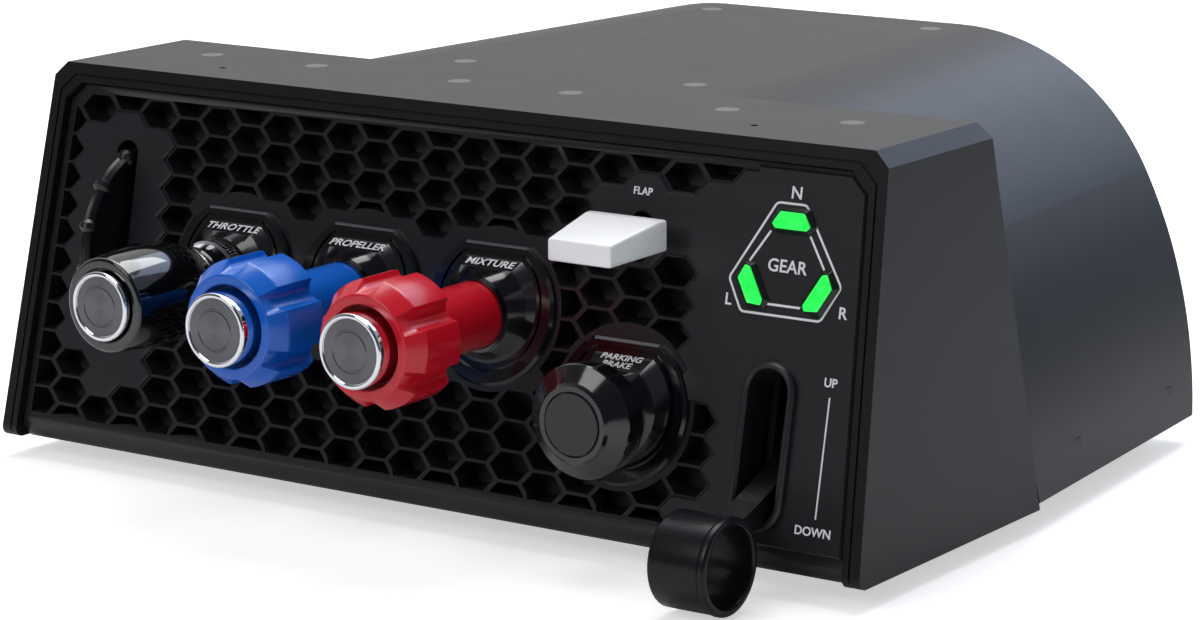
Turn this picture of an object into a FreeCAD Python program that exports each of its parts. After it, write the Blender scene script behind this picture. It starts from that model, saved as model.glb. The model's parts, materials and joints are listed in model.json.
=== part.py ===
import FreeCAD, Part
import math
import os
from FreeCAD import Placement, Rotation, Vector

os.makedirs("parts", exist_ok=True)

# Throttle quadrant for a desktop flight deck. Millimetres and degrees.
# X runs to the right, Y to the rear and Z up. The origin is on the desk, under the middle of the whole unit.
# The front panel leans back. Places on it are (u, v, d): u to the right of its middle, v up its slope from the
# row of the three engine controls, and d out of the plane of the honeycomb's ridges.

# ---- Driving sizes ----
lean = 12.0                  # front panel from the vertical
column_pitch = 11.54         # honeycomb, across
row_pitch = 8.46             # honeycomb, up the slope
cell_wall = 1.3
least_cell = 9.0             # smaller leftovers of a cell, in square millimetres, stay closed
shortest_edge = 0.2
middle_column = 11
lever_row = 5

foot_height = 8.0
foot_r = 9.0
hood_clear = 6.0             # hood's lower edge above the desk
lever_rise = 57.2            # engine controls above the hood's lower edge
hood_rise = 54.3             # hood's top above the engine controls
hood_half_bottom = 149.7
hood_half_top = 143.6
hood_back_top = 62.5         # rear edges of the hood behind the controls' row
hood_back_bottom = 84.0
hood_chamfer = 4.2
hood_lip_round = 3.0
hood_wall = 3.0
pin_hole_r = 1.1
bezel_rise = 2.5             # bezel's face in front of the honeycomb's ridges
bezel_width = 5.5
bezel_groove = 0.6
bezel_groove_inset = 1.9
bezel_top = 49.2             # v of the opening's upper edge
bezel_corner = 5.0

shell_reach = 223.8          # rear housing's upper rear edge behind the controls' row
shell_flat = 44.0            # half of the flat top, at the rear
shell_half = 137.5           # half of the width at the base, at the rear
shell_flare = 0.0877         # growth of each half towards the front, per millimetre
shell_shoulder_r = 82.1
shell_side_r = 158.1
shell_overlap = 12.0         # how far the housing reaches into the hood, at the top
shell_wall = 3.0
cover_thick = 3.0
cover_recess = 1.0
base_thick = 3.0

panel_thick = 8.0
panel_bottom = -58.0
panel_round = 6.0
grid_top = 46.5
grid_bottom = -50.0
grid_frame = 2.6
backing_thick = 2.0
backing_bottom = -50.9
backing_lap = 2.5            # backing beyond the opening's upper edge
plate_thick = 1.2
plate_edge = 0.6

pad_r = 23.0                 # solid disc in the honeycomb round each control
flange_r = 21.3
flange_flat = 10.5
flange_top = 18.2
flange_thick = 2.0
boss_r = 16.7
boss_flat = 9.5
boss_top = 15.2
boss_mid_r = 14.2
boss_mid_flat = 8.6
engine_facet = (11.2, 5.5)   # height and distance out of the panel of the label facet's front edge
brake_facet = (10.0, 7.0)
nose_r = 10.8
nose_reach = 8.0
nose_lip = 1.2
throttle_nose = 5.8
shank_r = 7.5
shank_end = -17.0

shaft_r = 5.0
shaft_end = -172.0
engine_travel = 60.0
sleeve_r = 9.4
sleeve_end = 6.4
knob_r = 17.8
knob_rear = 38.0
knob_front = 58.5
flute_r = 3.3
flute_offset = 17.7
flute_count = 6
button_r = 10.3
button_reach = 64.3
button_travel = 3.0
throttle_reach = 56.5
throttle_rim_r = 13.4
throttle_body_r = 14.6
throttle_rear = 18.0
throttle_button_r = 9.9
throttle_travel = 2.0
neck_r = 7.9
friction_ring_r = 10.8
friction_spigot_r = 8.5
friction_spigot_end = 12.2
friction_cap_rear = 10.4

brake_column = 17
brake_row = 7.5
brake_reach = 24.4
brake_cap_r = 8.5
brake_rim_r = 15.8
brake_rim_reach = 20.2
brake_rear = 11.6
brake_shaft_r = 4.0
brake_shaft_end = -62.0
brake_travel = 25.0

trim_u = -113.5
trim_v = 3.5
trim_d = -15.0
trim_rim_r = 29.9
trim_bead_r = 2.8
trim_beads = 15
trim_rim_half = 1.9
trim_slot_half = 4.0
trim_axle_r = 3.0

gear_u = 115.6
gear_v = -25.5
gear_d = -20.0
gear_angle = 33.6            # lever down, from the panel's normal
gear_length = 54.5
gear_arm_half = 3.8
gear_arm_thick = 5.4
gear_hub_r = 7.0
gear_ring_r = 12.9
gear_ring_hole_r = 10.9
gear_ring_half = 9.0
gear_slot_half = 6.0
gear_slot_length = 20.5
gear_rim_width = 2.1
gear_rim_rise = 2.2
gear_axle_r = 3.0

flap_column = 17
flap_v = 24.4
flap_d = -22.0
flap_tilt = 1.8
flap_arm_half = 2.2
flap_arm_thick = 4.0
flap_hub_r = 5.0
flap_slot_v = 25.1
flap_slot_half = 3.6
flap_slot_length = 6.9
flap_axle_r = 2.0
paddle_back = 1.3            # rear and front faces of the paddle, in front of the controls' row
paddle_front = 25.0
paddle_back_half = 12.6
paddle_front_half = 10.1

lamp_u = 116.0
lamp_v = 22.3
lamp_ring_r = 12.3
lamp_half_inner = 6.0
lamp_half_outer = 4.3
lamp_height = 5.2
lamp_rise = 1.6
guide_r = 2.0

pot_length = 78.0
pot_front = 24.0
bulkhead_y = 104.0
sheet = 2.0
bush_r = 7.0

running = 0.05               # radial clearance of a shaft in its bore
gap = 0.3                    # clearance between pieces that don't touch

# ---- Derived places ----
lever_z = hood_clear + lever_rise
lever_y = (button_reach - shell_reach) / 2
hood_top = lever_z + hood_rise
base_top = foot_height + base_thick
lever_columns = {"throttle": 5, "propeller": 9, "mixture": 13}
lean_rad = math.radians(lean)
across = Vector(1, 0, 0)
up_slope = Vector(0, math.sin(lean_rad), math.cos(lean_rad))
outward = Vector(0, -math.cos(lean_rad), math.sin(lean_rad))
forward = Vector(0, -1, 0)
upward = Vector(0, 0, 1)
datum = Vector(0, lever_y, lever_z)


def column_u(column):
    return (column - middle_column) * column_pitch


def row_v(row):
    return (lever_row - row) * row_pitch


def on_panel(u, v, d=0.0):
    return datum + across * u + up_slope * v + outward * d


def panel_frame(u=0.0, v=0.0, d=0.0, turn=0.0):
    """Frame lying on the panel: x across, y up the slope, z outward."""
    return Placement(on_panel(u, v, d), Rotation(Vector(1, 0, 0), 90 - lean) * Rotation(upward, turn))


def lever_frame(column, row=lever_row):
    """Frame of a push-pull control: z points straight forward from the panel, y up."""
    return Placement(on_panel(column_u(column), row_v(row)), Rotation(Vector(1, 0, 0), 90))


def pivot_frame(u, v, d, angle):
    """Frame of a lever: x along the lever, angle degrees up from the panel's normal, and z across."""
    turn = math.radians(angle)
    along = outward * math.cos(turn) + up_slope * math.sin(turn)
    return Placement(on_panel(u, v, d), Rotation(along, across.cross(along), across, "XZY"))


def leaning_y(z, d):
    """Y of the plane parallel to the panel at distance d, at height z."""
    return lever_y + (z - lever_z) * math.tan(lean_rad) - d / math.cos(lean_rad)


def hood_half(z):
    share = (z - hood_clear) / (hood_top - hood_clear)
    return hood_half_bottom + (hood_half_top - hood_half_bottom) * share


def hood_back(z):
    share = (z - hood_clear) / (hood_top - hood_clear)
    return lever_y + hood_back_bottom + (hood_back_top - hood_back_bottom) * share


# ---- Shape helpers ----
def placed(shape, placement):
    moved = shape.copy()
    moved.Placement = placement.multiply(moved.Placement)
    return moved


def polygon(points):
    vectors = [Vector(*point) for point in points]
    return Part.Wire(Part.makePolygon(vectors + vectors[:1]).Edges)


def prism(points, low, high):
    """Solid over a closed outline of (x, y) points, from z = low to z = high."""
    face = Part.Face(polygon([(x, y, low) for x, y in points]))
    return face.extrude(Vector(0, 0, high - low))


def box(x0, x1, y0, y1, z0, z1):
    return Part.makeBox(x1 - x0, y1 - y0, z1 - z0, Vector(x0, y0, z0))


def rod(radius, low, high, x=0.0, y=0.0):
    return Part.makeCylinder(radius, high - low, Vector(x, y, low), upward)


def tube(outer, inner, low, high):
    return rod(outer, low, high).cut(rod(inner, low - 1, high + 1))


def stadium(half_width, half_length, low, high):
    straight = half_length - half_width
    body = box(-half_width, half_width, -straight, straight, low, high)
    return body.multiFuse([rod(half_width, low, high, 0, y) for y in (-straight, straight)]).removeSplitter()


def path(start, *steps):
    """Edges in the XZ plane; a step is an end point, or a middle and an end point of an arc."""
    edges = []
    here = Vector(start[0], 0, start[1])
    for step in steps:
        end = Vector(step[-2], 0, step[-1])
        if len(step) == 4:
            edges.append(Part.Arc(here, Vector(step[0], 0, step[1]), end).toShape())
        else:
            edges.append(Part.LineSegment(here, end).toShape())
        here = end
    return edges


def turned(start, *steps):
    """Solid of revolution about Z of a closed (radius, height) outline."""
    wire = Part.Wire(path(start, *steps, start))
    return Part.Solid(Part.Face(wire).revolve(Vector(0, 0, 0), upward, 360))


def frustum(z0, z1, rect0, rect1):
    """Solid between two level rectangles, each (half width, front y, back y)."""
    wires = []
    for z, (half, front, back) in ((z0, rect0), (z1, rect1)):
        wires.append(polygon([(-half, front, z), (half, front, z), (half, back, z), (-half, back, z)]))
    return Part.makeLoft(wires, True, True)


def save(name, shape):
    shape.exportStep("parts/" + name + ".step")
    print(name, len(shape.Solids), "solid", round(shape.Volume / 1000, 2), "cm3")


# ---- Hood ----
def hood_block(inset, front_d, low, high):
    """The hood's tapered block, inset from its sides and back, with its front at distance front_d."""
    rects = [(hood_half(z) - inset, leaning_y(z, front_d), hood_back(z) - inset) for z in (low, high)]
    return frustum(low, high, *rects)


def bezel_outline(inset, top, bottom, corner):
    """Outline parallel to the hood's front edges, in panel coordinates, with cut upper corners."""
    def half(v):
        return hood_half(lever_z + v * math.cos(lean_rad)) - inset
    shoulder = top - corner
    right = [(half(bottom), bottom), (half(shoulder), shoulder), (half(top) - corner, top)]
    return right + [(-u, v) for u, v in reversed(right)]


def hood_shell():
    block = hood_block(0, bezel_rise, hood_clear, hood_top)
    long_top = [e for e in block.Edges if min(v.Z for v in e.Vertexes) > hood_top - 0.1
                and abs(e.Vertexes[0].X - e.Vertexes[1].X) < 0.1]
    block = block.makeChamfer(hood_chamfer, long_top)
    lip = [e for e in block.Edges if max(v.Z for v in e.Vertexes) < hood_clear + 0.1
           and max(v.Y for v in e.Vertexes) < leaning_y(hood_clear, 0)]
    block = block.makeFillet(hood_lip_round, lip)
    cavity = hood_block(hood_wall, -panel_thick, hood_clear - 20, hood_top - hood_wall)
    opening = prism(bezel_outline(bezel_width, bezel_top, panel_bottom - 20, bezel_corner), -panel_thick - 2, 9)
    outer_inset = bezel_width - bezel_groove_inset - bezel_groove
    groove = prism(bezel_outline(outer_inset, bezel_top + bezel_width - outer_inset, panel_bottom - 20,
                                 bezel_corner), bezel_rise - bezel_groove, 9)
    inner_inset = outer_inset + bezel_groove
    groove = groove.cut(prism(bezel_outline(inner_inset, bezel_top + bezel_width - inner_inset,
                                            panel_bottom - 30, bezel_corner), 0, 10))
    through = hood_block(hood_wall, -panel_thick, hood_clear - 20, hood_top - hood_wall)
    through = placed(through, Placement(Vector(0, 2 * hood_wall, 0), Rotation()))
    window = arch_block(shell_wall, hood_clear - 20).common(through)
    shell = block.cut(cavity.fuse(window)).cut(placed(opening, panel_frame())).cut(placed(groove, panel_frame()))
    lugs = [lug(side * (hood_half(base_top) - hood_wall), lever_y + y) for side in (-1, 1) for y in (12, 64)]
    pin_holes = [rod(pin_hole_r, hood_top - 2.0, hood_top + 1, side * 92.5, lever_y + 24.5) for side in (-1, 1)]
    shell = shell.multiFuse(lugs).removeSplitter().cut(pin_holes)
    return shell.cut(screws(hood_screw_places, hood_top, running)
                                                           + screws(hood_base_places, foot_height, 0, True))


# ---- Rear housing: flat on top, round at the shoulders, wider towards the hood ----
shell_front_y = lever_y + hood_back_top - shell_overlap
shell_back_y = lever_y + shell_reach


def half_arch(inset, bottom):
    """Right half of the rear section; its side arc is tangent to the shoulder arc and ends at the base."""
    shoulder = Vector(shell_flat, 0, hood_top - shell_shoulder_r)
    base = Vector(shell_half, 0, foot_height)
    between = shell_side_r - shell_shoulder_r
    line = base - shoulder
    apart = line.Length
    along = (between ** 2 - shell_side_r ** 2 + apart ** 2) / (2 * apart)
    aside = math.sqrt(between ** 2 - along ** 2)
    unit = line.normalize()
    centre = shoulder + unit * along + Vector(unit.z, 0, -unit.x) * aside
    rise = math.atan2(shoulder.z - centre.z, shoulder.x - centre.x)
    side_r = shell_side_r - inset
    shoulder_r = shell_shoulder_r - inset
    low = math.asin((bottom - centre.z) / side_r)

    def at(middle, radius, angle):
        return (middle.x + math.cos(angle) * radius, middle.z + math.sin(angle) * radius)
    foot = at(centre, side_r, low)
    edges = path((0, bottom), foot, (*at(centre, side_r, (low + rise) / 2), *at(centre, side_r, rise)),
                 (*at(shoulder, shoulder_r, (rise + math.pi / 2) / 2), *at(shoulder, shoulder_r, math.pi / 2)),
                 (0, hood_top - inset), (0, bottom))
    return Part.Face(Part.Wire(edges))


def arch_block(inset, bottom):
    """The housing's form from inside the hood to its upper rear edge: two swept halves and a wedge between."""
    length = shell_back_y - shell_front_y
    drift = shell_flare * length
    half = half_arch(inset, bottom)
    half.translate(Vector(0, shell_back_y, 0))
    right = half.extrude(Vector(drift, -length, 0))
    left = right.mirror(Vector(0, 0, 0), across)
    wedge = prism([(0, shell_back_y), (-drift, shell_front_y), (drift, shell_front_y)], bottom, hood_top - inset)
    return right.fuse([left, wedge]).removeSplitter()


def rear_slab(depth0, depth1):
    """Everything between two planes parallel to the rear face, at these depths in front of it."""
    def y(z, depth):
        return lever_y + shell_reach - (hood_top - z) * math.tan(lean_rad) - depth / math.cos(lean_rad)
    low, high = -10.0, hood_top + 10
    points = [(y(low, depth1), low), (y(low, depth0), low), (y(high, depth0), high), (y(high, depth1), high)]
    face = Part.Face(polygon([(-200, a, b) for a, b in points]))
    return face.extrude(Vector(400, 0, 0))


def front_wedge():
    """Everything in front of the hood's rear face."""
    low, high = -10.0, hood_top + 10
    points = [(lever_y - 50, low), (hood_back(low), low), (hood_back(high), high), (lever_y - 50, high)]
    face = Part.Face(polygon([(-200, a, b) for a, b in points]))
    return face.extrude(Vector(400, 0, 0))


def rear_shell():
    solid = arch_block(0, foot_height).cut(arch_block(shell_wall, foot_height - 10))
    solid = solid.cut(front_wedge()).cut(rear_slab(-60, 0))
    sides = [lug(side * (shell_half_at(y) - shell_wall), lever_y + y) for side in (-1, 1) for y in (110, 180)]
    return solid.multiFuse(sides).removeSplitter().cut(screws(shell_screw_places, hood_top, running)
                                                            + screws(shell_base_places, foot_height, 0, True))


def rear_cover():
    cover = arch_block(shell_wall + gap, foot_height - 10).common(rear_slab(cover_recess, cover_recess + cover_thick))
    cover = cover.cut(box(-200, 200, -200, 200, -20, base_top))
    port = box(-usb_half - gap, usb_half + gap, lever_y + 150, lever_y + 230, usb_low - gap, usb_high + gap)
    return cover.cut(port)


def shell_half_at(y):
    """Half width at the base, at y behind the controls' row."""
    return shell_half + shell_flare * (shell_reach - y)


# ---- Screws: countersunk, one solid each ----
screw_r = 1.5
screw_head_r = 3.4
screw_length = 8.0
hood_screw_places = [(side * x, lever_y + 43.0) for x in (19.5, 72.0, 112.0) for side in (-1, 1)]
shell_screw_places = [(side * 40.8, lever_y + y) for y in (74.6, 210.0) for side in (-1, 1)]
lug_half = 5.0
lug_height = 9.0
hood_base_places = [(side * (hood_half_bottom - hood_wall - lug_half - 1.0), lever_y + y)
                    for side in (-1, 1) for y in (12, 64)]
shell_base_places = [(side * (shell_half_at(y) - shell_wall - lug_half - 1.0), lever_y + y)
                     for side in (-1, 1) for y in (110, 180)]


def screw(x, y, z, spare, from_below):
    """Countersunk screw whose head is flush at z."""
    head = Part.makeCone(screw_r + spare, screw_head_r + spare, screw_head_r - screw_r)
    body = rod(screw_r + spare, -screw_length, 0).fuse(placed(head, Placement(Vector(0, 0, screw_r - screw_head_r),
                                                                              Rotation())))
    turn = Rotation(across, 180 if from_below else 0)
    return placed(body.removeSplitter(), Placement(Vector(x, y, z), turn))


def screws(places, z, spare=0.0, from_below=False):
    return [screw(x, y, z, spare, from_below) for x, y in places]


def lug(x, y):
    """Block on a side wall that a base screw runs into; x is the wall's inner face."""
    inner = x - math.copysign(2 * lug_half, x)
    outer = x + math.copysign(1.5, x)
    return box(min(inner, outer), max(inner, outer), y - lug_half, y + lug_half, base_top, base_top + lug_height)


# ---- Base, feet and inner carriers ----
board_half = 55.0
board_front = 135.0
board_back = 196.0
board_low = base_top + 6.0
board_thick = 1.6
usb_half = 4.6
usb_low = board_low + board_thick
usb_high = usb_low + 3.3
foot_places = [(side * x, lever_y + y) for side in (-1, 1) for x, y in ((108, 36), (98, 178))]


def base_plate():
    hood_part = hood_block(hood_wall + gap, -panel_thick - gap, foot_height - 1, base_top + 1)
    rear_part = arch_block(shell_wall + gap, foot_height - 10).cut(rear_slab(-60, cover_recess))
    limit = hood_half(base_top) - hood_wall - gap
    rear_part = rear_part.common(box(-limit, limit, lever_y + hood_back_top + 10, 200, -20, 200))
    slab = box(-200, 200, -200, 200, foot_height, base_top)
    plate = slab.common(hood_part.fuse(rear_part)).removeSplitter()
    posts = [rod(3, base_top - 0.5, board_low, side * (board_half - 5), lever_y + y)
             for side in (-1, 1) for y in (board_front + 5, board_back - 8)]
    return plate.multiFuse(posts).removeSplitter().cut(screws(hood_base_places + shell_base_places,
                                                                   foot_height, running, True))


def feet():
    foot = turned((0, 0), (foot_r - 1.5, 0), (foot_r, 1.5), (foot_r, foot_height), (0, foot_height))
    return Part.makeCompound([placed(foot, Placement(Vector(x, y, 0), Rotation())) for x, y in foot_places])


def cross_beam():
    top = hood_top - hood_wall
    beam = box(-122, 122, lever_y + 37, lever_y + 49, top - 8, top)
    return beam.cut(screws(hood_screw_places, hood_top, 0))


def shell_ties():
    """Strips under the flat top; the front one also lies under the hood and joins the two housings."""
    top = hood_top - shell_wall
    ties = []
    for y0, y1 in ((hood_back_top - shell_overlap, hood_back_top + 20), (shell_reach - 22, shell_reach - 7)):
        tie = box(2 - shell_flat, shell_flat - 2, lever_y + y0, lever_y + y1, top - 3, top)
        ties.append(tie.cut(screws(shell_screw_places, hood_top, 0)))
    return Part.makeCompound(ties)


def main_board():
    return box(-board_half, board_half, lever_y + board_front, lever_y + board_back, board_low,
               board_low + board_thick)


def usb_socket():
    back = lever_y + shell_reach - (hood_top - usb_high) * math.tan(lean_rad) - cover_recess
    shell = box(-usb_half, usb_half, lever_y + board_back - 6, back, usb_low, usb_high)
    mouth = box(-usb_half + 0.5, usb_half - 0.5, back - 6.5, back + 1, usb_low + 0.5, usb_high - 0.5)
    tongue = box(-usb_half + 1.5, usb_half - 1.5, back - 7, back - 1.5, (usb_low + usb_high) / 2 - 0.35,
                 (usb_low + usb_high) / 2 + 0.35)
    return shell.cut(mouth).fuse(tongue).removeSplitter()


# ---- Honeycomb panel ----
half_cell_u = column_pitch / 1.5
half_cell_v = row_pitch / 2
trim_cells = [(0, r) for r in range(1, 9)] + [(1, r + 0.5) for r in range(0, 10)] + [(2, r) for r in range(1, 10)]
flap_cells = [(16, 1), (16, 2), (17, 0.5), (17, 1.5), (17, 2.5), (18, 1), (18, 2)]
gear_cells = [(19, r + 0.5) for r in range(0, 7)] + [(19, 10.5)] + [(20, r) for r in range(0, 12)]
control_places = [(column_u(c), row_v(lever_row)) for c in lever_columns.values()]
control_places.append((column_u(brake_column), row_v(brake_row)))


def cell(column, row, wall):
    """Six corners of a stretched hexagon cell, less half a wall all round."""
    share = 1 - wall / row_pitch
    u0, v0 = column_u(column), row_v(row)
    corners = [(1, 0), (0.5, 1), (-0.5, 1), (-1, 0), (-0.5, -1), (0.5, -1)]
    return [(u0 + a * half_cell_u * share, v0 + b * half_cell_v * share) for a, b in corners]


def clipped(points, a, b, c):
    """Part of a polygon where a*u + b*v <= c."""
    kept = []
    for (u0, v0), (u1, v1) in zip(points, points[1:] + points[:1]):
        s0 = a * u0 + b * v0 - c
        s1 = a * u1 + b * v1 - c
        if s0 <= 0:
            kept.append((u0, v0))
        if s0 * s1 < 0:
            share = s0 / (s0 - s1)
            kept.append((u0 + (u1 - u0) * share, v0 + (v1 - v0) * share))
    return kept


def area(points):
    pairs = zip(points, points[1:] + points[:1])
    return abs(sum(u0 * v1 - u1 * v0 for (u0, v0), (u1, v1) in pairs)) / 2


def in_window(points, inset, top, bottom):
    """Polygon clipped to the panel's window, whose sides follow the hood's flare."""
    flare = (hood_half_bottom - hood_half_top) / (hood_top - hood_clear) * math.cos(lean_rad)
    limit = hood_half(lever_z) - inset
    points = clipped(points, 0, 1, top)
    points = clipped(points, 0, -1, -bottom)
    points = clipped(points, -1, flare, limit)
    points = clipped(points, 1, flare, limit)
    return [point for index, point in enumerate(points) if math.dist(point, points[index - 1]) > shortest_edge]


def cell_open(column, row):
    u0, v0 = column_u(column), row_v(row)
    if (column, row) in trim_cells + flap_cells + gear_cells or column > 19:
        return False
    if column % 4 != 1 and 5 < column < 13 and abs(row - lever_row) < 2:
        return False
    return all(math.hypot(u0 - u, v0 - v) > pad_r - 2.5 for u, v in control_places)


def flat_face(points):
    return Part.Face(polygon([(u, v, 0) for u, v in points]))


def disc_face(radius, u, v):
    return Part.Face(Part.Wire(Part.makeCircle(radius, Vector(u, v, 0))))


def honeycomb_panel():
    """Open cells through the whole thickness, cut out of the panel's outline before it gets its depth."""
    outline = bezel_outline(bezel_width + gap, bezel_top - gap, panel_bottom, bezel_corner)
    window = bezel_width + gap + grid_frame
    pads = [disc_face(pad_r, u, v) for u, v in control_places]
    cells = []
    for column in range(-1, 20):
        for half_row in range(-1, 23):
            row = half_row / 2
            if (column + half_row) % 2 or not cell_open(column, row):
                continue
            corners = in_window(cell(column, row, cell_wall), window, grid_top, grid_bottom)
            if len(corners) > 2 and area(corners) > least_cell:
                left = flat_face(corners).cut(pads)
                cells += [face for face in left.Faces if face.Area > least_cell]
    sheet_face = flat_face(outline).cut(cells)
    plate = sheet_face.extrude(Vector(0, 0, panel_thick)).Solids[0]
    plate = placed(plate, Placement(Vector(0, 0, -panel_thick), Rotation()))
    plate = Part.Solid(Part.Shell(plate.Faces))
    lip = [e for e in plate.Edges if max(v.Y for v in e.Vertexes) < panel_bottom + 0.1
           and min(v.Z for v in e.Vertexes) > -0.1]
    plate = plate.makeFillet(panel_round, lip)
    plate = plate.cut(slots(-panel_thick - 1, 1, False))
    return placed(plate, panel_frame()).cut(shank_holes())


def slots(low, high, thin):
    """Openings for the trim wheel, flap arm, gear arm and lamp guides, in panel coordinates."""
    reach = trim_rim_r + trim_bead_r
    depth = trim_d if thin else trim_d + panel_thick + backing_thick
    trim_length = math.sqrt(reach ** 2 - depth ** 2) + 1.4
    found = [placed(stadium(trim_slot_half, trim_length, low, high), Placement(Vector(trim_u, trim_v, 0), Rotation())),
             placed(stadium(flap_slot_half, flap_slot_length, low, high),
                    Placement(Vector(column_u(flap_column), flap_slot_v, 0), Rotation())),
             placed(stadium(gear_slot_half, gear_slot_length, low, high),
                    Placement(Vector(gear_u, gear_v, 0), Rotation()))]
    return found + [rod(guide_r + gap, low, high, *place) for place in lamp_places()]


def shank_holes():
    holes = [placed(rod(shank_r + gap, shank_end - 5, 20), lever_frame(c)) for c in lever_columns.values()]
    return holes + [placed(rod(shank_r + gap, shank_end - 5, 20), lever_frame(brake_column, brake_row))]


def panel_backing():
    outline = bezel_outline(hood_wall + 2 * gap, bezel_top + backing_lap, backing_bottom, bezel_corner)
    plate = prism(outline, -panel_thick - backing_thick, -panel_thick)
    pegs = [rod(2, -light_board_d, -panel_thick - 0.5, lamp_u + a * 17, lamp_v + b * 14)
            for a in (-1, 1) for b in (-1, 1)]
    plate = plate.multiFuse(pegs).removeSplitter().cut(slots(-panel_thick - 5, 1, False))
    return placed(plate, panel_frame()).cut(shank_holes())


# ---- Raised plates on the honeycomb ----
def raised_plate(polygons, cuts):
    """Plate over joined cells, with a narrow bevel round its upper edge."""
    bodies = [prism(points, 0, plate_thick) for points in polygons]
    plate = bodies[0].multiFuse(bodies[1:]).removeSplitter()
    rim = [e for e in plate.Edges if min(v.Z for v in e.Vertexes) > plate_thick - 0.01]
    plate = plate.makeChamfer(plate_edge, rim)
    return placed(plate.cut(cuts), panel_frame())


def trim_plate():
    return raised_plate([cell(c, r, 0) for c, r in trim_cells], slots(-1, 4, True)[:1])


def gear_plate():
    inset = bezel_width + gap + 1.0
    top, bottom = bezel_top - gap - 1.0, -51.5
    cells = [in_window(cell(c, r, 0), inset, top, bottom) for c, r in flap_cells + gear_cells]
    half = hood_half(lever_z) - inset
    corner = bezel_corner - 0.5
    area_right = [(column_u(20), bottom), (half + 20, bottom), (half + 20, top), (column_u(20), top)]
    area_right = in_window(area_right, inset, top, bottom)
    area_right = clipped(area_right, 1, 1, hood_half(lever_z + top * math.cos(lean_rad)) - inset + top - corner)
    brake_room = rod(flange_r + gap, -1, 4, column_u(brake_column), row_v(brake_row))
    return raised_plate(cells + [area_right], slots(-1, 4, True)[1:] + [brake_room])


def gear_slot_rim():
    outer = stadium(gear_slot_half + gear_rim_width, gear_slot_length + gear_rim_width, plate_thick,
                    plate_thick + gear_rim_rise)
    ring = outer.cut(stadium(gear_slot_half, gear_slot_length, 0, 9))
    rim = [e for e in ring.Edges if min(v.Z for v in e.Vertexes) > plate_thick + gear_rim_rise - 0.01]
    ring = ring.makeChamfer(gear_rim_width * 0.35, rim)
    return placed(ring, panel_frame(gear_u, gear_v))


# ---- Gear lamps ----
light_board_d = panel_thick + backing_thick + 1.5
led_height = 0.9
lamp_names = {"nose": 90, "left": 210, "right": 330}


def lamp_places():
    return [(lamp_u + lamp_ring_r * math.cos(math.radians(a)), lamp_v + lamp_ring_r * math.sin(math.radians(a)))
            for a in lamp_names.values()]


def gear_lamp(index):
    """Raised lens with a light guide behind it."""
    low, high = -lamp_height / 2, lamp_height / 2
    corners = [(-lamp_half_inner, low), (lamp_half_inner, low), (lamp_half_outer, high), (-lamp_half_outer, high)]
    lens = prism(corners, plate_thick, plate_thick + lamp_rise)
    upright = [e for e in lens.Edges if abs(e.Vertexes[0].Z - e.Vertexes[1].Z) > 1]
    lens = lens.makeFillet(1.0, upright)
    top = [e for e in lens.Edges if min(v.Z for v in e.Vertexes) > plate_thick + lamp_rise - 0.01]
    lens = lens.makeChamfer(0.5, top)
    guide = rod(guide_r, led_height - light_board_d + 0.1, plate_thick + 0.3)
    angle = list(lamp_names.values())[index]
    return placed(lens.fuse(guide).removeSplitter(), panel_frame(*lamp_places()[index], 0, angle - 90))


def light_board():
    """Circuit board with one light under each lens."""
    board = placed(box(-20, 20, -17, 17, -light_board_d - board_thick, -light_board_d), panel_frame(lamp_u, lamp_v))
    led = box(-1.6, 1.6, -1.6, 1.6, -light_board_d, led_height - light_board_d)
    return Part.makeCompound([board] + [placed(led, panel_frame(*place)) for place in lamp_places()])


# ---- Control bosses ----
def round_outline(radius, flat, top):
    """Round outline with a flat of half width flat at height top."""
    shoulder = (radius + math.hypot(flat, top)) / 2
    turn = (math.atan2(top, flat)) / 2
    side = Vector(shoulder * math.cos(turn), shoulder * math.sin(turn), 0)
    a, b = Vector(-flat, top, 0), Vector(flat, top, 0)
    right, low, left = Vector(radius, 0, 0), Vector(0, -radius, 0), Vector(-radius, 0, 0)
    return Part.Wire([Part.LineSegment(a, b).toShape(), Part.Arc(b, side, right).toShape(),
                      Part.Arc(right, low, left).toShape(),
                      Part.Arc(left, Vector(-side.x, side.y, 0), a).toShape()])


def round_ring(radius, flat, top):
    """Full circle cut into the same four edges as round_outline."""
    turn = math.atan2(top, flat)
    a = Vector(-radius * math.cos(turn), radius * math.sin(turn), 0)
    b = Vector(-a.x, a.y, 0)
    side = Vector(radius * math.cos(turn / 2), radius * math.sin(turn / 2), 0)
    right, low, left = Vector(radius, 0, 0), Vector(0, -radius, 0), Vector(-radius, 0, 0)
    return Part.Wire([Part.Arc(a, Vector(0, radius, 0), b).toShape(), Part.Arc(b, side, right).toShape(),
                      Part.Arc(right, low, left).toShape(),
                      Part.Arc(left, Vector(-side.x, side.y, 0), a).toShape()])


def lifted(wire, placement):
    moved = wire.copy()
    moved.Placement = placement
    return moved


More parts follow.
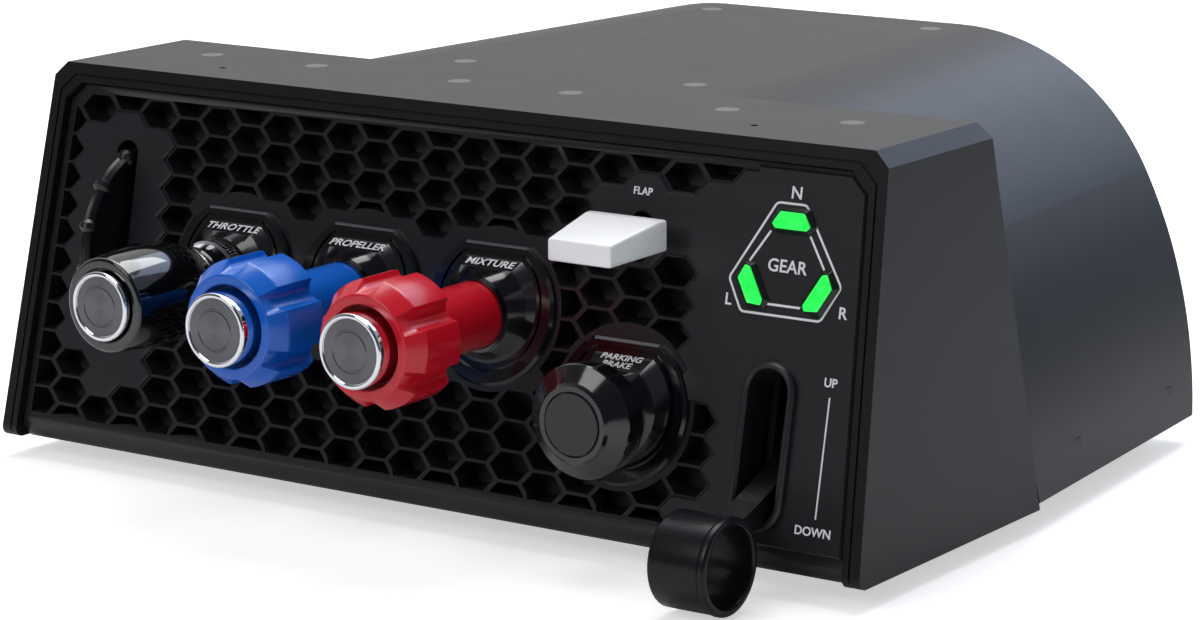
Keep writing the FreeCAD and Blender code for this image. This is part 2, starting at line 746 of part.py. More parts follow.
def boss(column, row, bore, facet, nose, spigot=0, mouth=0):
    """Flange, faceted cone and nose round one push-pull control, with its bush shank through the panel."""
    def level(d):
        return Placement(Vector(0, 0, d), Rotation())
    facet_top, facet_d = facet
    to_nose = Placement(Vector(0, -math.sin(lean_rad), math.cos(lean_rad)) * nose, Rotation(across, lean))
    middle = Placement(Vector(0, 0, facet_d - facet_top * math.sin(lean_rad / 2)), Rotation(across, lean / 2))
    flange = Part.Face(round_outline(flange_r, flange_flat, flange_top)).extrude(Vector(0, 0, flange_thick))
    rim = [e for e in flange.Edges if e.BoundBox.ZMin > flange_thick - 0.01]
    flange = flange.makeChamfer(flange_thick * 0.4, rim)
    groove = Part.Face(round_outline(boss_r + 0.7, boss_flat + 0.5, boss_top + 0.7)).extrude(Vector(0, 0, 9))
    groove = groove.cut(Part.Face(round_outline(boss_r, boss_flat, boss_top)).extrude(Vector(0, 0, 9)))
    groove = placed(groove, level(flange_thick - 1.2))
    lower = Part.makeLoft([lifted(round_outline(boss_r, boss_flat, boss_top), level(0.5)),
                           lifted(round_outline(boss_mid_r, boss_mid_flat, facet_top), middle)], True, True)
    upper = Part.makeLoft([lifted(round_outline(boss_mid_r, boss_mid_flat, facet_top), middle),
                           lifted(round_ring(nose_r, boss_mid_flat, facet_top), to_nose)], True, True)
    body = flange.cut(groove).fuse([lower, upper])
    body = placed(body, Placement(Vector(0, 0, 0), Rotation(across, -lean)))
    if spigot:
        tip = rod(spigot, nose - 1, friction_spigot_end)
    else:
        tip = rod(nose_r - 0.5, nose - 1, nose + nose_lip)
    body = body.fuse([tip, rod(shank_r, shank_end, 1)])
    body = body.removeSplitter().cut(rod(bore + running, shank_end - 1, 30))
    if mouth:
        body = body.cut(rod(mouth, sleeve_end - 1.0, 30))
    return placed(body, lever_frame(column, row))


# ---- Engine controls ----
def shaft(column, tip):
    return placed(rod(shaft_r, shaft_end, tip), lever_frame(column))


def carriage(column):
    """Clamp on the shaft with the tongue that moves the slide sensor."""
    clamp = box(-6, 6, -8, 8, -98, -90).cut(rod(shaft_r, -120, -60))
    return placed(clamp.fuse(box(-0.8, 0.8, -16, -7.5, -96, -92)).removeSplitter(), lever_frame(column))


def slide_sensors():
    body = box(-4.5, 4.5, -24, -13, -pot_front - pot_length, -pot_front)
    body = body.cut(box(-1.2, 1.2, -19, -12, -pot_front - pot_length + 2, -pot_front - 4))
    return Part.makeCompound([placed(body, lever_frame(column)) for column in lever_columns.values()])


def press_button(radius, reach, rear, stem_end):
    """Polished cap with a raised rim and a plain dished face, on a guide stem."""
    rim = radius * 0.17
    return turned((0, stem_end), (3, stem_end), (3, rear), (radius - 0.6, rear), (radius - 0.6, rear + 1.5),
                  (radius, reach - 1.2), (radius - 1.0, reach),
                  (radius - rim + 0.3, reach - 0.3), (radius - rim - 0.3, reach - 0.9), (0, reach - 0.9))


def throttle_knob():
    rim = throttle_reach
    body = turned((0, friction_spigot_end + gap), (neck_r, friction_spigot_end + gap), (neck_r, throttle_rear),
                  (9.6, throttle_rear), (11.4, 21), (12.9, 25), (13.9, 30), (throttle_body_r, 36),
                  (throttle_body_r, 42), (14.1, 50), (throttle_rim_r, rim - 1.0), (throttle_rim_r - 1.1, rim),
                  (throttle_button_r + gap + 0.5, rim), (throttle_button_r + gap, rim - 0.5),
                  (throttle_button_r + gap, rim - 6), (0, rim - 6))
    body = body.cut(rod(3 + running, 40, 60)).cut(rod(shaft_r, 0, 44))
    return placed(body, lever_frame(lever_columns["throttle"]))


def vernier_knob(column):
    """Fluted knob with its sleeve; it twists on the shaft."""
    body = turned((0, sleeve_end), (sleeve_r - 0.4, sleeve_end), (sleeve_r, sleeve_end + 0.5), (sleeve_r, knob_rear),
                  (knob_r - 1.0, knob_rear), (knob_r, knob_rear + 1.2), (knob_r, knob_front - 5),
                  (16.4, knob_front - 1.9), (14.2, knob_front), (12.0, knob_front), (11.6, knob_front - 1.0),
                  (11.6, 50), (0, 50))
    flutes = []
    for index in range(flute_count):
        angle = math.radians(30 + index * 360 / flute_count)
        flutes.append(rod(flute_r, knob_rear - 2, knob_front + 4, flute_offset * math.cos(angle),
                          flute_offset * math.sin(angle)))
    body = body.cut(flutes).cut(rod(3 + running, 40, 60)).cut(rod(shaft_r + running, 0, 44 + gap))
    return placed(body, lever_frame(column))


def friction_ring():
    """Knurled ring on the throttle's nose; it clamps the shaft."""
    ring = tube(friction_ring_r - 0.2, friction_spigot_r + running, throttle_nose + gap, friction_cap_rear)
    return placed(ring, lever_frame(lever_columns["throttle"]))


def friction_ring_cap():
    inner = friction_spigot_r + running
    ring = turned((inner, friction_cap_rear), (friction_ring_r, friction_cap_rear),
                  (friction_ring_r, friction_cap_rear + 1.1), (friction_ring_r - 0.7, friction_spigot_end),
                  (inner, friction_spigot_end))
    return placed(ring, lever_frame(lever_columns["throttle"]))


def throttle_trim_ring():
    ring = turned((neck_r, throttle_rear - 1.2), (neck_r + 1.6, throttle_rear - 1.2), (neck_r + 2.2, throttle_rear - 0.6),
                  (neck_r + 2.2, throttle_rear), (neck_r, throttle_rear))
    return placed(ring, lever_frame(lever_columns["throttle"]))


# ---- Parking brake ----
def brake_knob():
    cap_low = brake_reach - 1.2
    body = turned((0, nose_reach + nose_lip + gap), (8.0, nose_reach + nose_lip + gap), (8.0, brake_rear),
                  (brake_rim_r - 1.6, brake_rear), (brake_rim_r - 0.5, brake_rear + 1.2),
                  (brake_rim_r, brake_rim_reach - 0.4), (brake_rim_r - 0.3, brake_rim_reach),
                  (11.2, brake_reach - 1.2), (10.4, brake_reach - 0.3), (brake_cap_r + 0.5, brake_reach - 0.3),
                  (brake_cap_r + 0.2, brake_reach - 0.6), (brake_cap_r + 0.2, cap_low), (0, cap_low))
    return placed(body.cut(rod(brake_shaft_r, 0, 20)), lever_frame(brake_column, brake_row))


def brake_cap():
    cap = turned((0, brake_reach - 1.2), (brake_cap_r, brake_reach - 1.2), (brake_cap_r, brake_reach - 0.2),
                 (brake_cap_r - 0.2, brake_reach), (0, brake_reach))
    return placed(cap, lever_frame(brake_column, brake_row))


def brake_shaft():
    return placed(rod(brake_shaft_r, brake_shaft_end, 20), lever_frame(brake_column, brake_row))


def brake_bracket():
    """Angle on the base that guides the rear of the brake shaft."""
    axis = on_panel(column_u(brake_column), row_v(brake_row))
    y = axis.y + 42
    upright = box(axis.x - 11, axis.x + 11, y, y + 3, base_top, axis.z + 9)
    foot = box(axis.x - 11, axis.x + 11, y - 9, y + 1, base_top, base_top + sheet)
    return upright.fuse(foot).removeSplitter().cut(placed(rod(brake_shaft_r + running, -80, 0),
                                                          lever_frame(brake_column, brake_row)))


def brake_switch():
    axis = on_panel(column_u(brake_column), row_v(brake_row))
    return box(axis.x - 5, axis.x + 5, axis.y + 48, axis.y + 62, base_top, axis.z - brake_shaft_r - 1.5)


# ---- Trim wheel ----
def trim_wheel():
    disc = turned((0, -4), (5.5, -4), (5.5, -trim_rim_half), (trim_rim_r + 0.6, -trim_rim_half),
                  (trim_rim_r + 1.5, -0.9), (trim_rim_r + 1.1, 0), (trim_rim_r + 1.5, 0.9),
                  (trim_rim_r + 0.6, trim_rim_half), (5.5, trim_rim_half), (5.5, 4), (0, 4))
    bead = turned((0, -1.9), (1.6, -1.9), (trim_bead_r, -0.8), (trim_bead_r, 0.8), (1.6, 1.9), (0, 1.9))
    beads = []
    for index in range(trim_beads):
        angle = math.radians(16.0 + index * 360 / trim_beads)
        centre = Vector(trim_rim_r * math.cos(angle), trim_rim_r * math.sin(angle), 0)
        along = Rotation(upward, Vector(-math.sin(angle), math.cos(angle), 0))
        beads.append(placed(bead, Placement(centre, along)))
    wheel = disc.multiFuse(beads).removeSplitter().cut(rod(trim_axle_r, -9, 9))
    return placed(wheel, pivot_frame(trim_u, trim_v, trim_d, 0))


def u_bracket(half_inside, half_v, window, reach, ear_v, bore):
    """Bracket behind the panel: a web with a window, and two ears that carry an axle along X."""
    low_d = -panel_thick - backing_thick
    web = box(-half_inside - sheet, half_inside + sheet, -half_v, half_v, low_d - sheet, low_d)
    ears = []
    for side in (-1, 1):
        inner, outer = side * half_inside, side * (half_inside + sheet)
        ear = box(min(inner, outer), max(inner, outer), -ear_v, ear_v, reach - ear_v * 0.7, low_d)
        ears.append(ear)
    axle = Part.makeCylinder(bore, 80, Vector(-40, 0, reach), across)
    return web.cut(window).multiFuse(ears).removeSplitter().cut(axle)


trim_ear = 6.0
gear_ear = gear_arm_half + gap
flap_ear = flap_arm_half + gap


def trim_bracket():
    window = stadium(trim_slot_half + 0.5, trim_rim_r + trim_bead_r + 2, -40, 0)
    body = u_bracket(trim_ear, 38, window, trim_d, 9, trim_axle_r + running)
    return placed(body, panel_frame(trim_u, trim_v))


def trim_axle():
    return placed(rod(trim_axle_r, -trim_ear - 3.5, trim_ear + 8), pivot_frame(trim_u, trim_v, trim_d, 0))


def trim_encoder():
    body = box(-9, 4.5, -7, 7, trim_ear + sheet, trim_ear + 11).cut(rod(trim_axle_r + running, 0, trim_ear + 8.5))
    return placed(body, pivot_frame(trim_u, trim_v, trim_d, 0))


# ---- Gear lever ----
def gear_lever():
    hub = rod(gear_hub_r, -gear_arm_half, gear_arm_half)
    half = gear_arm_thick / 2
    end = gear_length
    arm = prism([(0, -half), (30, -half), (end, -half - 1.5), (end, half + 1.5), (30, half), (0, half)],
                -gear_arm_half, gear_arm_half)
    ring_room = rod(gear_ring_r, -20, 20, gear_length, 0)
    arm = arm.cut(ring_room)
    body = hub.fuse(arm).removeSplitter().cut(rod(gear_axle_r + running, -9, 9))
    return placed(body, pivot_frame(gear_u, gear_v, gear_d, -gear_angle))


def gear_handle():
    """Wheel-shaped handle, open through its middle."""
    ring = turned((gear_ring_hole_r, -gear_ring_half + 0.6), (gear_ring_hole_r + 0.6, -gear_ring_half),
                  (gear_ring_r - 0.8, -gear_ring_half), (gear_ring_r, -gear_ring_half + 1.0),
                  (gear_ring_r, gear_ring_half - 1.0), (gear_ring_r - 0.8, gear_ring_half),
                  (gear_ring_hole_r + 0.6, gear_ring_half), (gear_ring_hole_r, gear_ring_half - 0.6))
    centre = pivot_frame(gear_u, gear_v, gear_d, -gear_angle).multiply(Placement(Vector(gear_length, 0, 0), Rotation()))
    return placed(ring, centre)


def gear_bracket():
    window = stadium(gear_slot_half, gear_slot_length, -40, 0)
    window = window.common(box(-gear_ear, gear_ear, -60, 60, -40, 0))
    body = u_bracket(gear_ear, 24, window, gear_d, 9, gear_axle_r)
    return placed(body, panel_frame(gear_u, gear_v))


def gear_axle():
    return placed(rod(gear_axle_r, -gear_ear - 3, gear_ear + 3), pivot_frame(gear_u, gear_v, gear_d, 0))


# ---- Flap lever ----
def paddle():
    wires = []
    for reach, half, low, high in ((paddle_back, paddle_back_half, 23.0, 31.6),
                                   (paddle_front, paddle_front_half, 21.9, 28.0)):
        y = lever_y - reach
        wires.append(polygon([(-half, y, lever_z + low), (half, y, lever_z + low), (half, y, lever_z + high),
                              (-half, y, lever_z + high)]))
    body = Part.makeLoft(wires, True, True)
    body = body.makeChamfer(0.8, body.Edges)
    return placed(body, Placement(Vector(column_u(flap_column), 0, 0), Rotation()))


def flap_lever():
    hub = rod(flap_hub_r, -flap_arm_half, flap_arm_half)
    half = flap_arm_thick / 2
    arm = box(0, 34, -half, half, -flap_arm_half, flap_arm_half)
    body = hub.fuse(arm).removeSplitter().cut(rod(flap_axle_r + running, -9, 9))
    body = placed(body, pivot_frame(column_u(flap_column), flap_v, flap_d, flap_tilt))
    return max(body.cut(paddle()).Solids, key=lambda solid: solid.Volume)


def flap_bracket():
    window = stadium(flap_slot_half, flap_slot_length, -40, 0)
    window = placed(window, Placement(Vector(0, flap_slot_v - flap_v, 0), Rotation()))
    window = window.common(box(-flap_ear, flap_ear, -60, 60, -40, 0))
    body = u_bracket(flap_ear, 11, window, flap_d, 6, flap_axle_r)
    return placed(body, panel_frame(column_u(flap_column), flap_v))


def flap_axle():
    return placed(rod(flap_axle_r, -flap_ear - 3, flap_ear + 3),
                  pivot_frame(column_u(flap_column), flap_v, flap_d, 0))


# ---- Inner frame for the engine controls ----
def bulkhead():
    """Sheet standing on the base behind the slide sensors; it holds the rear bushes."""
    plate = box(-92, 46, lever_y + bulkhead_y, lever_y + bulkhead_y + 3, base_top, lever_z + 14)
    foot = box(-92, 46, lever_y + bulkhead_y, lever_y + bulkhead_y + 15, base_top, base_top + sheet)
    holes = [placed(rod(bush_r, -200, 0), lever_frame(c)) for c in lever_columns.values()]
    return plate.fuse(foot).removeSplitter().cut(holes)


def rear_bushes():
    bush = turned((shaft_r + running, 0), (bush_r + 2, 0), (bush_r + 2, 2), (bush_r, 2), (bush_r, 8),
                  (shaft_r + running, 8))
    behind = Placement(Vector(0, 0, -bulkhead_y - 5), Rotation())
    return Part.makeCompound([placed(bush, lever_frame(c).multiply(behind)) for c in lever_columns.values()])


def sensor_tray():
    """Folded sheet that carries the three slide sensors above the base."""
    x0, x1 = column_u(lever_columns["throttle"]) - 10, column_u(lever_columns["mixture"]) + 10
    y0, y1 = lever_y + pot_front - 2, lever_y + bulkhead_y
    top = lever_z - 24
    tray = box(x0, x1, y0, y1, top - sheet, top)
    legs = [box(x0, x0 + sheet, y0, y1, base_top, top), box(x1 - sheet, x1, y0, y1, base_top, top)]
    return tray.multiFuse(legs).removeSplitter()


# ---- All pieces ----
save("hood_shell", hood_shell())
save("rear_shell", rear_shell())
save("rear_cover", rear_cover())
save("base_plate", base_plate())
save("rubber_feet", feet())
save("top_screws", Part.makeCompound(screws(hood_screw_places + shell_screw_places, hood_top)))
save("base_screws", Part.makeCompound(screws(hood_base_places + shell_base_places, foot_height, 0, True)))
save("cross_beam", cross_beam())
save("shell_ties", shell_ties())
save("main_board", main_board())
save("usb_socket", usb_socket())

save("honeycomb_panel", honeycomb_panel())
save("panel_backing", panel_backing())
save("trim_plate", trim_plate())
save("gear_plate", gear_plate())
save("gear_slot_rim", gear_slot_rim())
for number, lamp_name in enumerate(lamp_names):
    save("gear_lamp_" + lamp_name, gear_lamp(number))
save("light_board", light_board())

for name, control in lever_columns.items():
    vernier = name != "throttle"
    if vernier:
        shape = boss(control, lever_row, shaft_r, engine_facet, nose_reach, mouth=sleeve_r + gap)
    else:
        shape = boss(control, lever_row, shaft_r, engine_facet, throttle_nose, spigot=friction_spigot_r)
    save("boss_" + name, shape)
    save("shaft_" + name, shaft(control, 44))
    save("carriage_" + name, carriage(control))
    if vernier:
        save("knob_" + name, vernier_knob(control))
        save("button_" + name, placed(press_button(button_r, button_reach, 54.5, 47.5), lever_frame(control)))
save("knob_throttle", throttle_knob())
save("button_throttle", placed(press_button(throttle_button_r, throttle_reach, 53.0, 47.0),
                               lever_frame(lever_columns["throttle"])))
save("throttle_trim_ring", throttle_trim_ring())
save("friction_ring", friction_ring())
save("friction_ring_cap", friction_ring_cap())
save("slide_sensors", slide_sensors())
save("rear_bushes", rear_bushes())
save("bulkhead", bulkhead())
save("sensor_tray", sensor_tray())

save("boss_brake", boss(brake_column, brake_row, brake_shaft_r, brake_facet, nose_reach))
save("knob_brake", brake_knob())
save("brake_cap", brake_cap())
save("shaft_brake", brake_shaft())
save("brake_bracket", brake_bracket())
save("brake_switch", brake_switch())

save("trim_wheel", trim_wheel())
save("trim_axle", trim_axle())
save("trim_bracket", trim_bracket())
save("trim_encoder", trim_encoder())

save("gear_lever", gear_lever())
save("gear_handle", gear_handle())
save("gear_bracket", gear_bracket())
save("gear_axle", gear_axle())

save("flap_paddle", paddle())
save("flap_lever", flap_lever())
save("flap_bracket", flap_bracket())
save("flap_axle", flap_axle())
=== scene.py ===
import bpy
import bmesh
import json
import math
from mathutils import Matrix, Quaternion, Vector

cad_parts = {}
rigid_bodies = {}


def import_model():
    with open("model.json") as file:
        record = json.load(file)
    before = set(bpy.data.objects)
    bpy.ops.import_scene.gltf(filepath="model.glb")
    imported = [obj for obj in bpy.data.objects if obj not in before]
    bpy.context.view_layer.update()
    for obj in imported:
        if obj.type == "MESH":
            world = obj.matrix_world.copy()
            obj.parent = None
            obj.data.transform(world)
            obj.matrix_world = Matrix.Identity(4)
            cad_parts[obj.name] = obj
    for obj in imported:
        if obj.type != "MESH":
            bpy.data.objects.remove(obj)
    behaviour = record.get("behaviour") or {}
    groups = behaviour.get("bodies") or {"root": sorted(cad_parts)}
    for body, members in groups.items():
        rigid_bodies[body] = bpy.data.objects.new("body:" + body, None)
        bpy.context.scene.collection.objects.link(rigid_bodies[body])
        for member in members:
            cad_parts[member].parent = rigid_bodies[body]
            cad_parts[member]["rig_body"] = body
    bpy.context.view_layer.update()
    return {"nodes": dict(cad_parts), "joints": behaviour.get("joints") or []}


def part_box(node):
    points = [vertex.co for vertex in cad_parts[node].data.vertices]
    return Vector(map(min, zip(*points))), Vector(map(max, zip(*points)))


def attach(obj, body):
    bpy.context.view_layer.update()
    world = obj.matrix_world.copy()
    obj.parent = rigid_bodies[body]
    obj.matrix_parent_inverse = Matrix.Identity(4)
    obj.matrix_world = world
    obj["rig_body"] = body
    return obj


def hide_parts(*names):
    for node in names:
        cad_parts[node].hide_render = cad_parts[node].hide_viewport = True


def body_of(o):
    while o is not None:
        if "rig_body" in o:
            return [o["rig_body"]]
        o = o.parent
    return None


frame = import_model()
mm = 0.001
joints = {joint["name"]: joint for joint in frame["joints"]}
leanAngle = math.radians(12)
leverRow = Vector(joints["friction_lock_turn"]["pos_m"])
panelMiddle = Vector((0, leverRow.y, leverRow.z))
acrossPanel = Vector((1, 0, 0))
upPanel = Vector((0, math.sin(leanAngle), math.cos(leanAngle)))
outOfPanel = Vector((0, -math.cos(leanAngle), math.sin(leanAngle)))
print("frame loaded", len(frame["nodes"]), "nodes")


# places on the leaning front panel, in millimetres: across, up the slope, out of it
def onPanel(u, v, d):
    return panelMiddle + (acrossPanel * u + upPanel * v + outOfPanel * d) * mm


def panelMatrix(u, v, d, turn=0.0, tip=0.0):
    place = Matrix.Translation(onPanel(u, v, d))
    lying = Matrix((acrossPanel, upPanel, outOfPanel)).transposed().to_4x4()
    return place @ lying @ Matrix.Rotation(math.radians(turn), 4, "Z") @ Matrix.Rotation(math.radians(tip), 4, "X")


def leverMatrix(centre):
    return Matrix.Translation(centre) @ Matrix.Rotation(math.radians(90), 4, "X")


def newObject(name, mesh, body, material, matrix=None):
    piece = bpy.data.objects.new(name, mesh)
    bpy.context.scene.collection.objects.link(piece)
    if matrix is not None:
        mesh.transform(matrix)
    mesh.materials.clear()
    mesh.materials.append(material)
    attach(piece, body)
    return piece


# shared effects, each a node group
def newGroup(name, inputs, outputs):
    group = bpy.data.node_groups.new(name, "ShaderNodeTree")
    for label, kind, value in inputs:
        group.interface.new_socket(name=label, in_out="INPUT", socket_type=kind).default_value = value
    for label, kind in outputs:
        group.interface.new_socket(name=label, in_out="OUTPUT", socket_type=kind)
    return group, group.nodes.new("NodeGroupInput"), group.nodes.new("NodeGroupOutput")


def mathNode(tree, operation, first, second=None):
    node = tree.nodes.new("ShaderNodeMath")
    node.operation = operation
    for index, value in enumerate((first, second)):
        if value is None:
            continue
        if isinstance(value, (int, float)):
            node.inputs[index].default_value = value
        else:
            tree.links.new(value, node.inputs[index])
    return node.outputs[0]


def noiseNode(tree, scale, detail, vector, rough=0.5):
    node = tree.nodes.new("ShaderNodeTexNoise")
    node.inputs["Detail"].default_value = detail
    node.inputs["Roughness"].default_value = rough
    if isinstance(scale, (int, float)):
        node.inputs["Scale"].default_value = scale
    else:
        tree.links.new(scale, node.inputs["Scale"])
    tree.links.new(vector, node.inputs["Vector"])
    return node.outputs["Fac"]


def makeGrainGroup():
    group, start, end = newGroup("mouldedGrain", [("Grain Scale", "NodeSocketFloat", 3000.0)],
                                 [("Height", "NodeSocketFloat"), ("Cloud", "NodeSocketFloat")])
    place = group.nodes.new("ShaderNodeTexCoord").outputs["Object"]
    cells = group.nodes.new("ShaderNodeTexVoronoi")
    cells.feature = "SMOOTH_F1"
    group.links.new(place, cells.inputs["Vector"])
    group.links.new(start.outputs["Grain Scale"], cells.inputs["Scale"])
    fine = noiseNode(group, start.outputs["Grain Scale"], 2, place)
    height = mathNode(group, "MULTIPLY_ADD", fine, 0.5)
    group.links.new(cells.outputs["Distance"], height.node.inputs[2])
    group.links.new(height, end.inputs["Height"])
    group.links.new(noiseNode(group, 22, 3, place), end.inputs["Cloud"])
    return group


def makeHandlingGroup():
    group, start, end = newGroup("handlingMarks", [("Mark Scale", "NodeSocketFloat", 60.0)],
                                 [("Marks", "NodeSocketFloat"), ("Dust", "NodeSocketFloat")])
    place = group.nodes.new("ShaderNodeTexCoord").outputs["Object"]
    blotch = noiseNode(group, start.outputs["Mark Scale"], 4, place, 0.62)
    stretch = group.nodes.new("ShaderNodeMapping")
    stretch.inputs["Scale"].default_value = (1.0, 14.0, 1.0)
    stretch.inputs["Rotation"].default_value = (0.3, 0.2, 0.7)
    group.links.new(place, stretch.inputs["Vector"])
    rubbed = noiseNode(group, 210, 2, stretch.outputs["Vector"])
    marks = mathNode(group, "MULTIPLY", blotch, rubbed)
    group.links.new(marks, end.inputs["Marks"])
    facing = group.nodes.new("ShaderNodeNewGeometry")
    split = group.nodes.new("ShaderNodeSeparateXYZ")
    group.links.new(facing.outputs["Normal"], split.inputs[0])
    upward = mathNode(group, "MAXIMUM", split.outputs["Z"], 0.0)
    speck = noiseNode(group, 900, 3, place, 0.7)
    dust = mathNode(group, "MULTIPLY", upward, mathNode(group, "MULTIPLY", speck, blotch))
    group.links.new(dust, end.inputs["Dust"])
    return group


def makeTurnedGroup():
    inputs = [("Centre X", "NodeSocketFloat", 0.0), ("Centre Z", "NodeSocketFloat", 0.0),
              ("Rings", "NodeSocketFloat", 9000.0)]
    group, start, end = newGroup("turnedRings", inputs, [("Height", "NodeSocketFloat"), ("Painted Sheen", "NodeSocketFloat")])
    place = group.nodes.new("ShaderNodeTexCoord").outputs["Object"]
    split = group.nodes.new("ShaderNodeSeparateXYZ")
    group.links.new(place, split.inputs[0])
    x = mathNode(group, "SUBTRACT", split.outputs["X"], start.outputs["Centre X"])
    z = mathNode(group, "SUBTRACT", split.outputs["Z"], start.outputs["Centre Z"])
    squared = mathNode(group, "ADD", mathNode(group, "MULTIPLY", x, x), mathNode(group, "MULTIPLY", z, z))
    radius = mathNode(group, "SQRT", squared)
    along = group.nodes.new("ShaderNodeCombineXYZ")
    group.links.new(mathNode(group, "MULTIPLY", radius, start.outputs["Rings"]), along.inputs["X"])
    rings = noiseNode(group, 1.0, 2, along.outputs[0])
    group.links.new(rings, end.inputs["Height"])
    # the second output paints a sheen: lighter and darker sectors round the centre, a painted reflection of turned
    # metal
    angle = mathNode(group, "ARCTAN2", z, x)
    paintedSheenFan = mathNode(group, "MULTIPLY", mathNode(group, "COSINE", mathNode(group, "MULTIPLY", angle, 2.0)), 0.5)
    group.links.new(mathNode(group, "ADD", paintedSheenFan, 0.5), end.inputs["Painted Sheen"])
    return group


effects = {"grain": makeGrainGroup(), "handling": makeHandlingGroup(), "turned": makeTurnedGroup()}
print("effects ready")


# materials
def groupNode(tree, effect, **values):
    node = tree.nodes.new("ShaderNodeGroup")
    node.node_tree = effects[effect]
    for label, value in values.items():
        node.inputs[label.replace("_", " ")].default_value = value
    return node


def rangeNode(tree, value, low, high):
    node = tree.nodes.new("ShaderNodeMapRange")
    tree.links.new(value, node.inputs["Value"])
    node.inputs["To Min"].default_value = low
    node.inputs["To Max"].default_value = high
    return node.outputs["Result"]


def colourMix(tree, mask, first, second):
    node = tree.nodes.new("ShaderNodeMix")
    node.data_type = "RGBA"
    tree.links.new(mask, node.inputs["Factor"])
    node.inputs[6].default_value = (*first, 1)
    node.inputs[7].default_value = (*second, 1)
    return node.outputs[2]


def bumpNode(tree, height, strength, distance):
    node = tree.nodes.new("ShaderNodeBump")
    node.inputs["Strength"].default_value = strength
    node.inputs["Distance"].default_value = distance
    tree.links.new(height, node.inputs["Height"])
    return node.outputs["Normal"]


def mouldedMaterial(name, colour, dusty, roughness, spread, grainScale, grainDepth, coat=0.0, coatRough=0.1,
                    specular=0.5):
    material = bpy.data.materials.new(name)
    material.use_nodes = True
    tree = material.node_tree
    shader = tree.nodes["Principled BSDF"]
    grain = groupNode(tree, "grain", Grain_Scale=grainScale)
    handling = groupNode(tree, "handling")
    tone = rangeNode(tree, handling.outputs["Dust"], 0.0, 0.8)
    tree.links.new(colourMix(tree, tone, colour, dusty), shader.inputs["Base Color"])
    tree.links.new(rangeNode(tree, handling.outputs["Marks"], roughness - spread, roughness + spread),
                   shader.inputs["Roughness"])
    tree.links.new(bumpNode(tree, grain.outputs["Height"], 0.5, grainDepth), shader.inputs["Normal"])
    shader.inputs["Coat Weight"].default_value = coat
    shader.inputs["Coat Roughness"].default_value = coatRough
    shader.inputs["Specular IOR Level"].default_value = specular
    return material


def metalMaterial(name, colour, roughness, spread, centre=None, rings=9000.0, ringDepth=0.00001):
    material = bpy.data.materials.new(name)
    material.use_nodes = True
    tree = material.node_tree
    shader = tree.nodes["Principled BSDF"]
    shader.inputs["Base Color"].default_value = (*colour, 1)
    shader.inputs["Metallic"].default_value = 1.0
    handling = groupNode(tree, "handling")
    tree.links.new(rangeNode(tree, handling.outputs["Marks"], roughness - spread, roughness + spread),
                   shader.inputs["Roughness"])
    if centre is not None:
        turned = groupNode(tree, "turned", Centre_X=centre.x, Centre_Z=centre.z, Rings=rings)
        tree.links.new(bumpNode(tree, turned.outputs["Height"], 0.35, ringDepth), shader.inputs["Normal"])
        # painted sheen: the colour darkens in two opposite sectors round the centre, a painted reflection of turned
        # metal
        paintedSheenDark = tuple(part * 0.82 for part in colour)
        tree.links.new(colourMix(tree, turned.outputs["Painted Sheen"], paintedSheenDark, colour), shader.inputs["Base Color"])
    return material


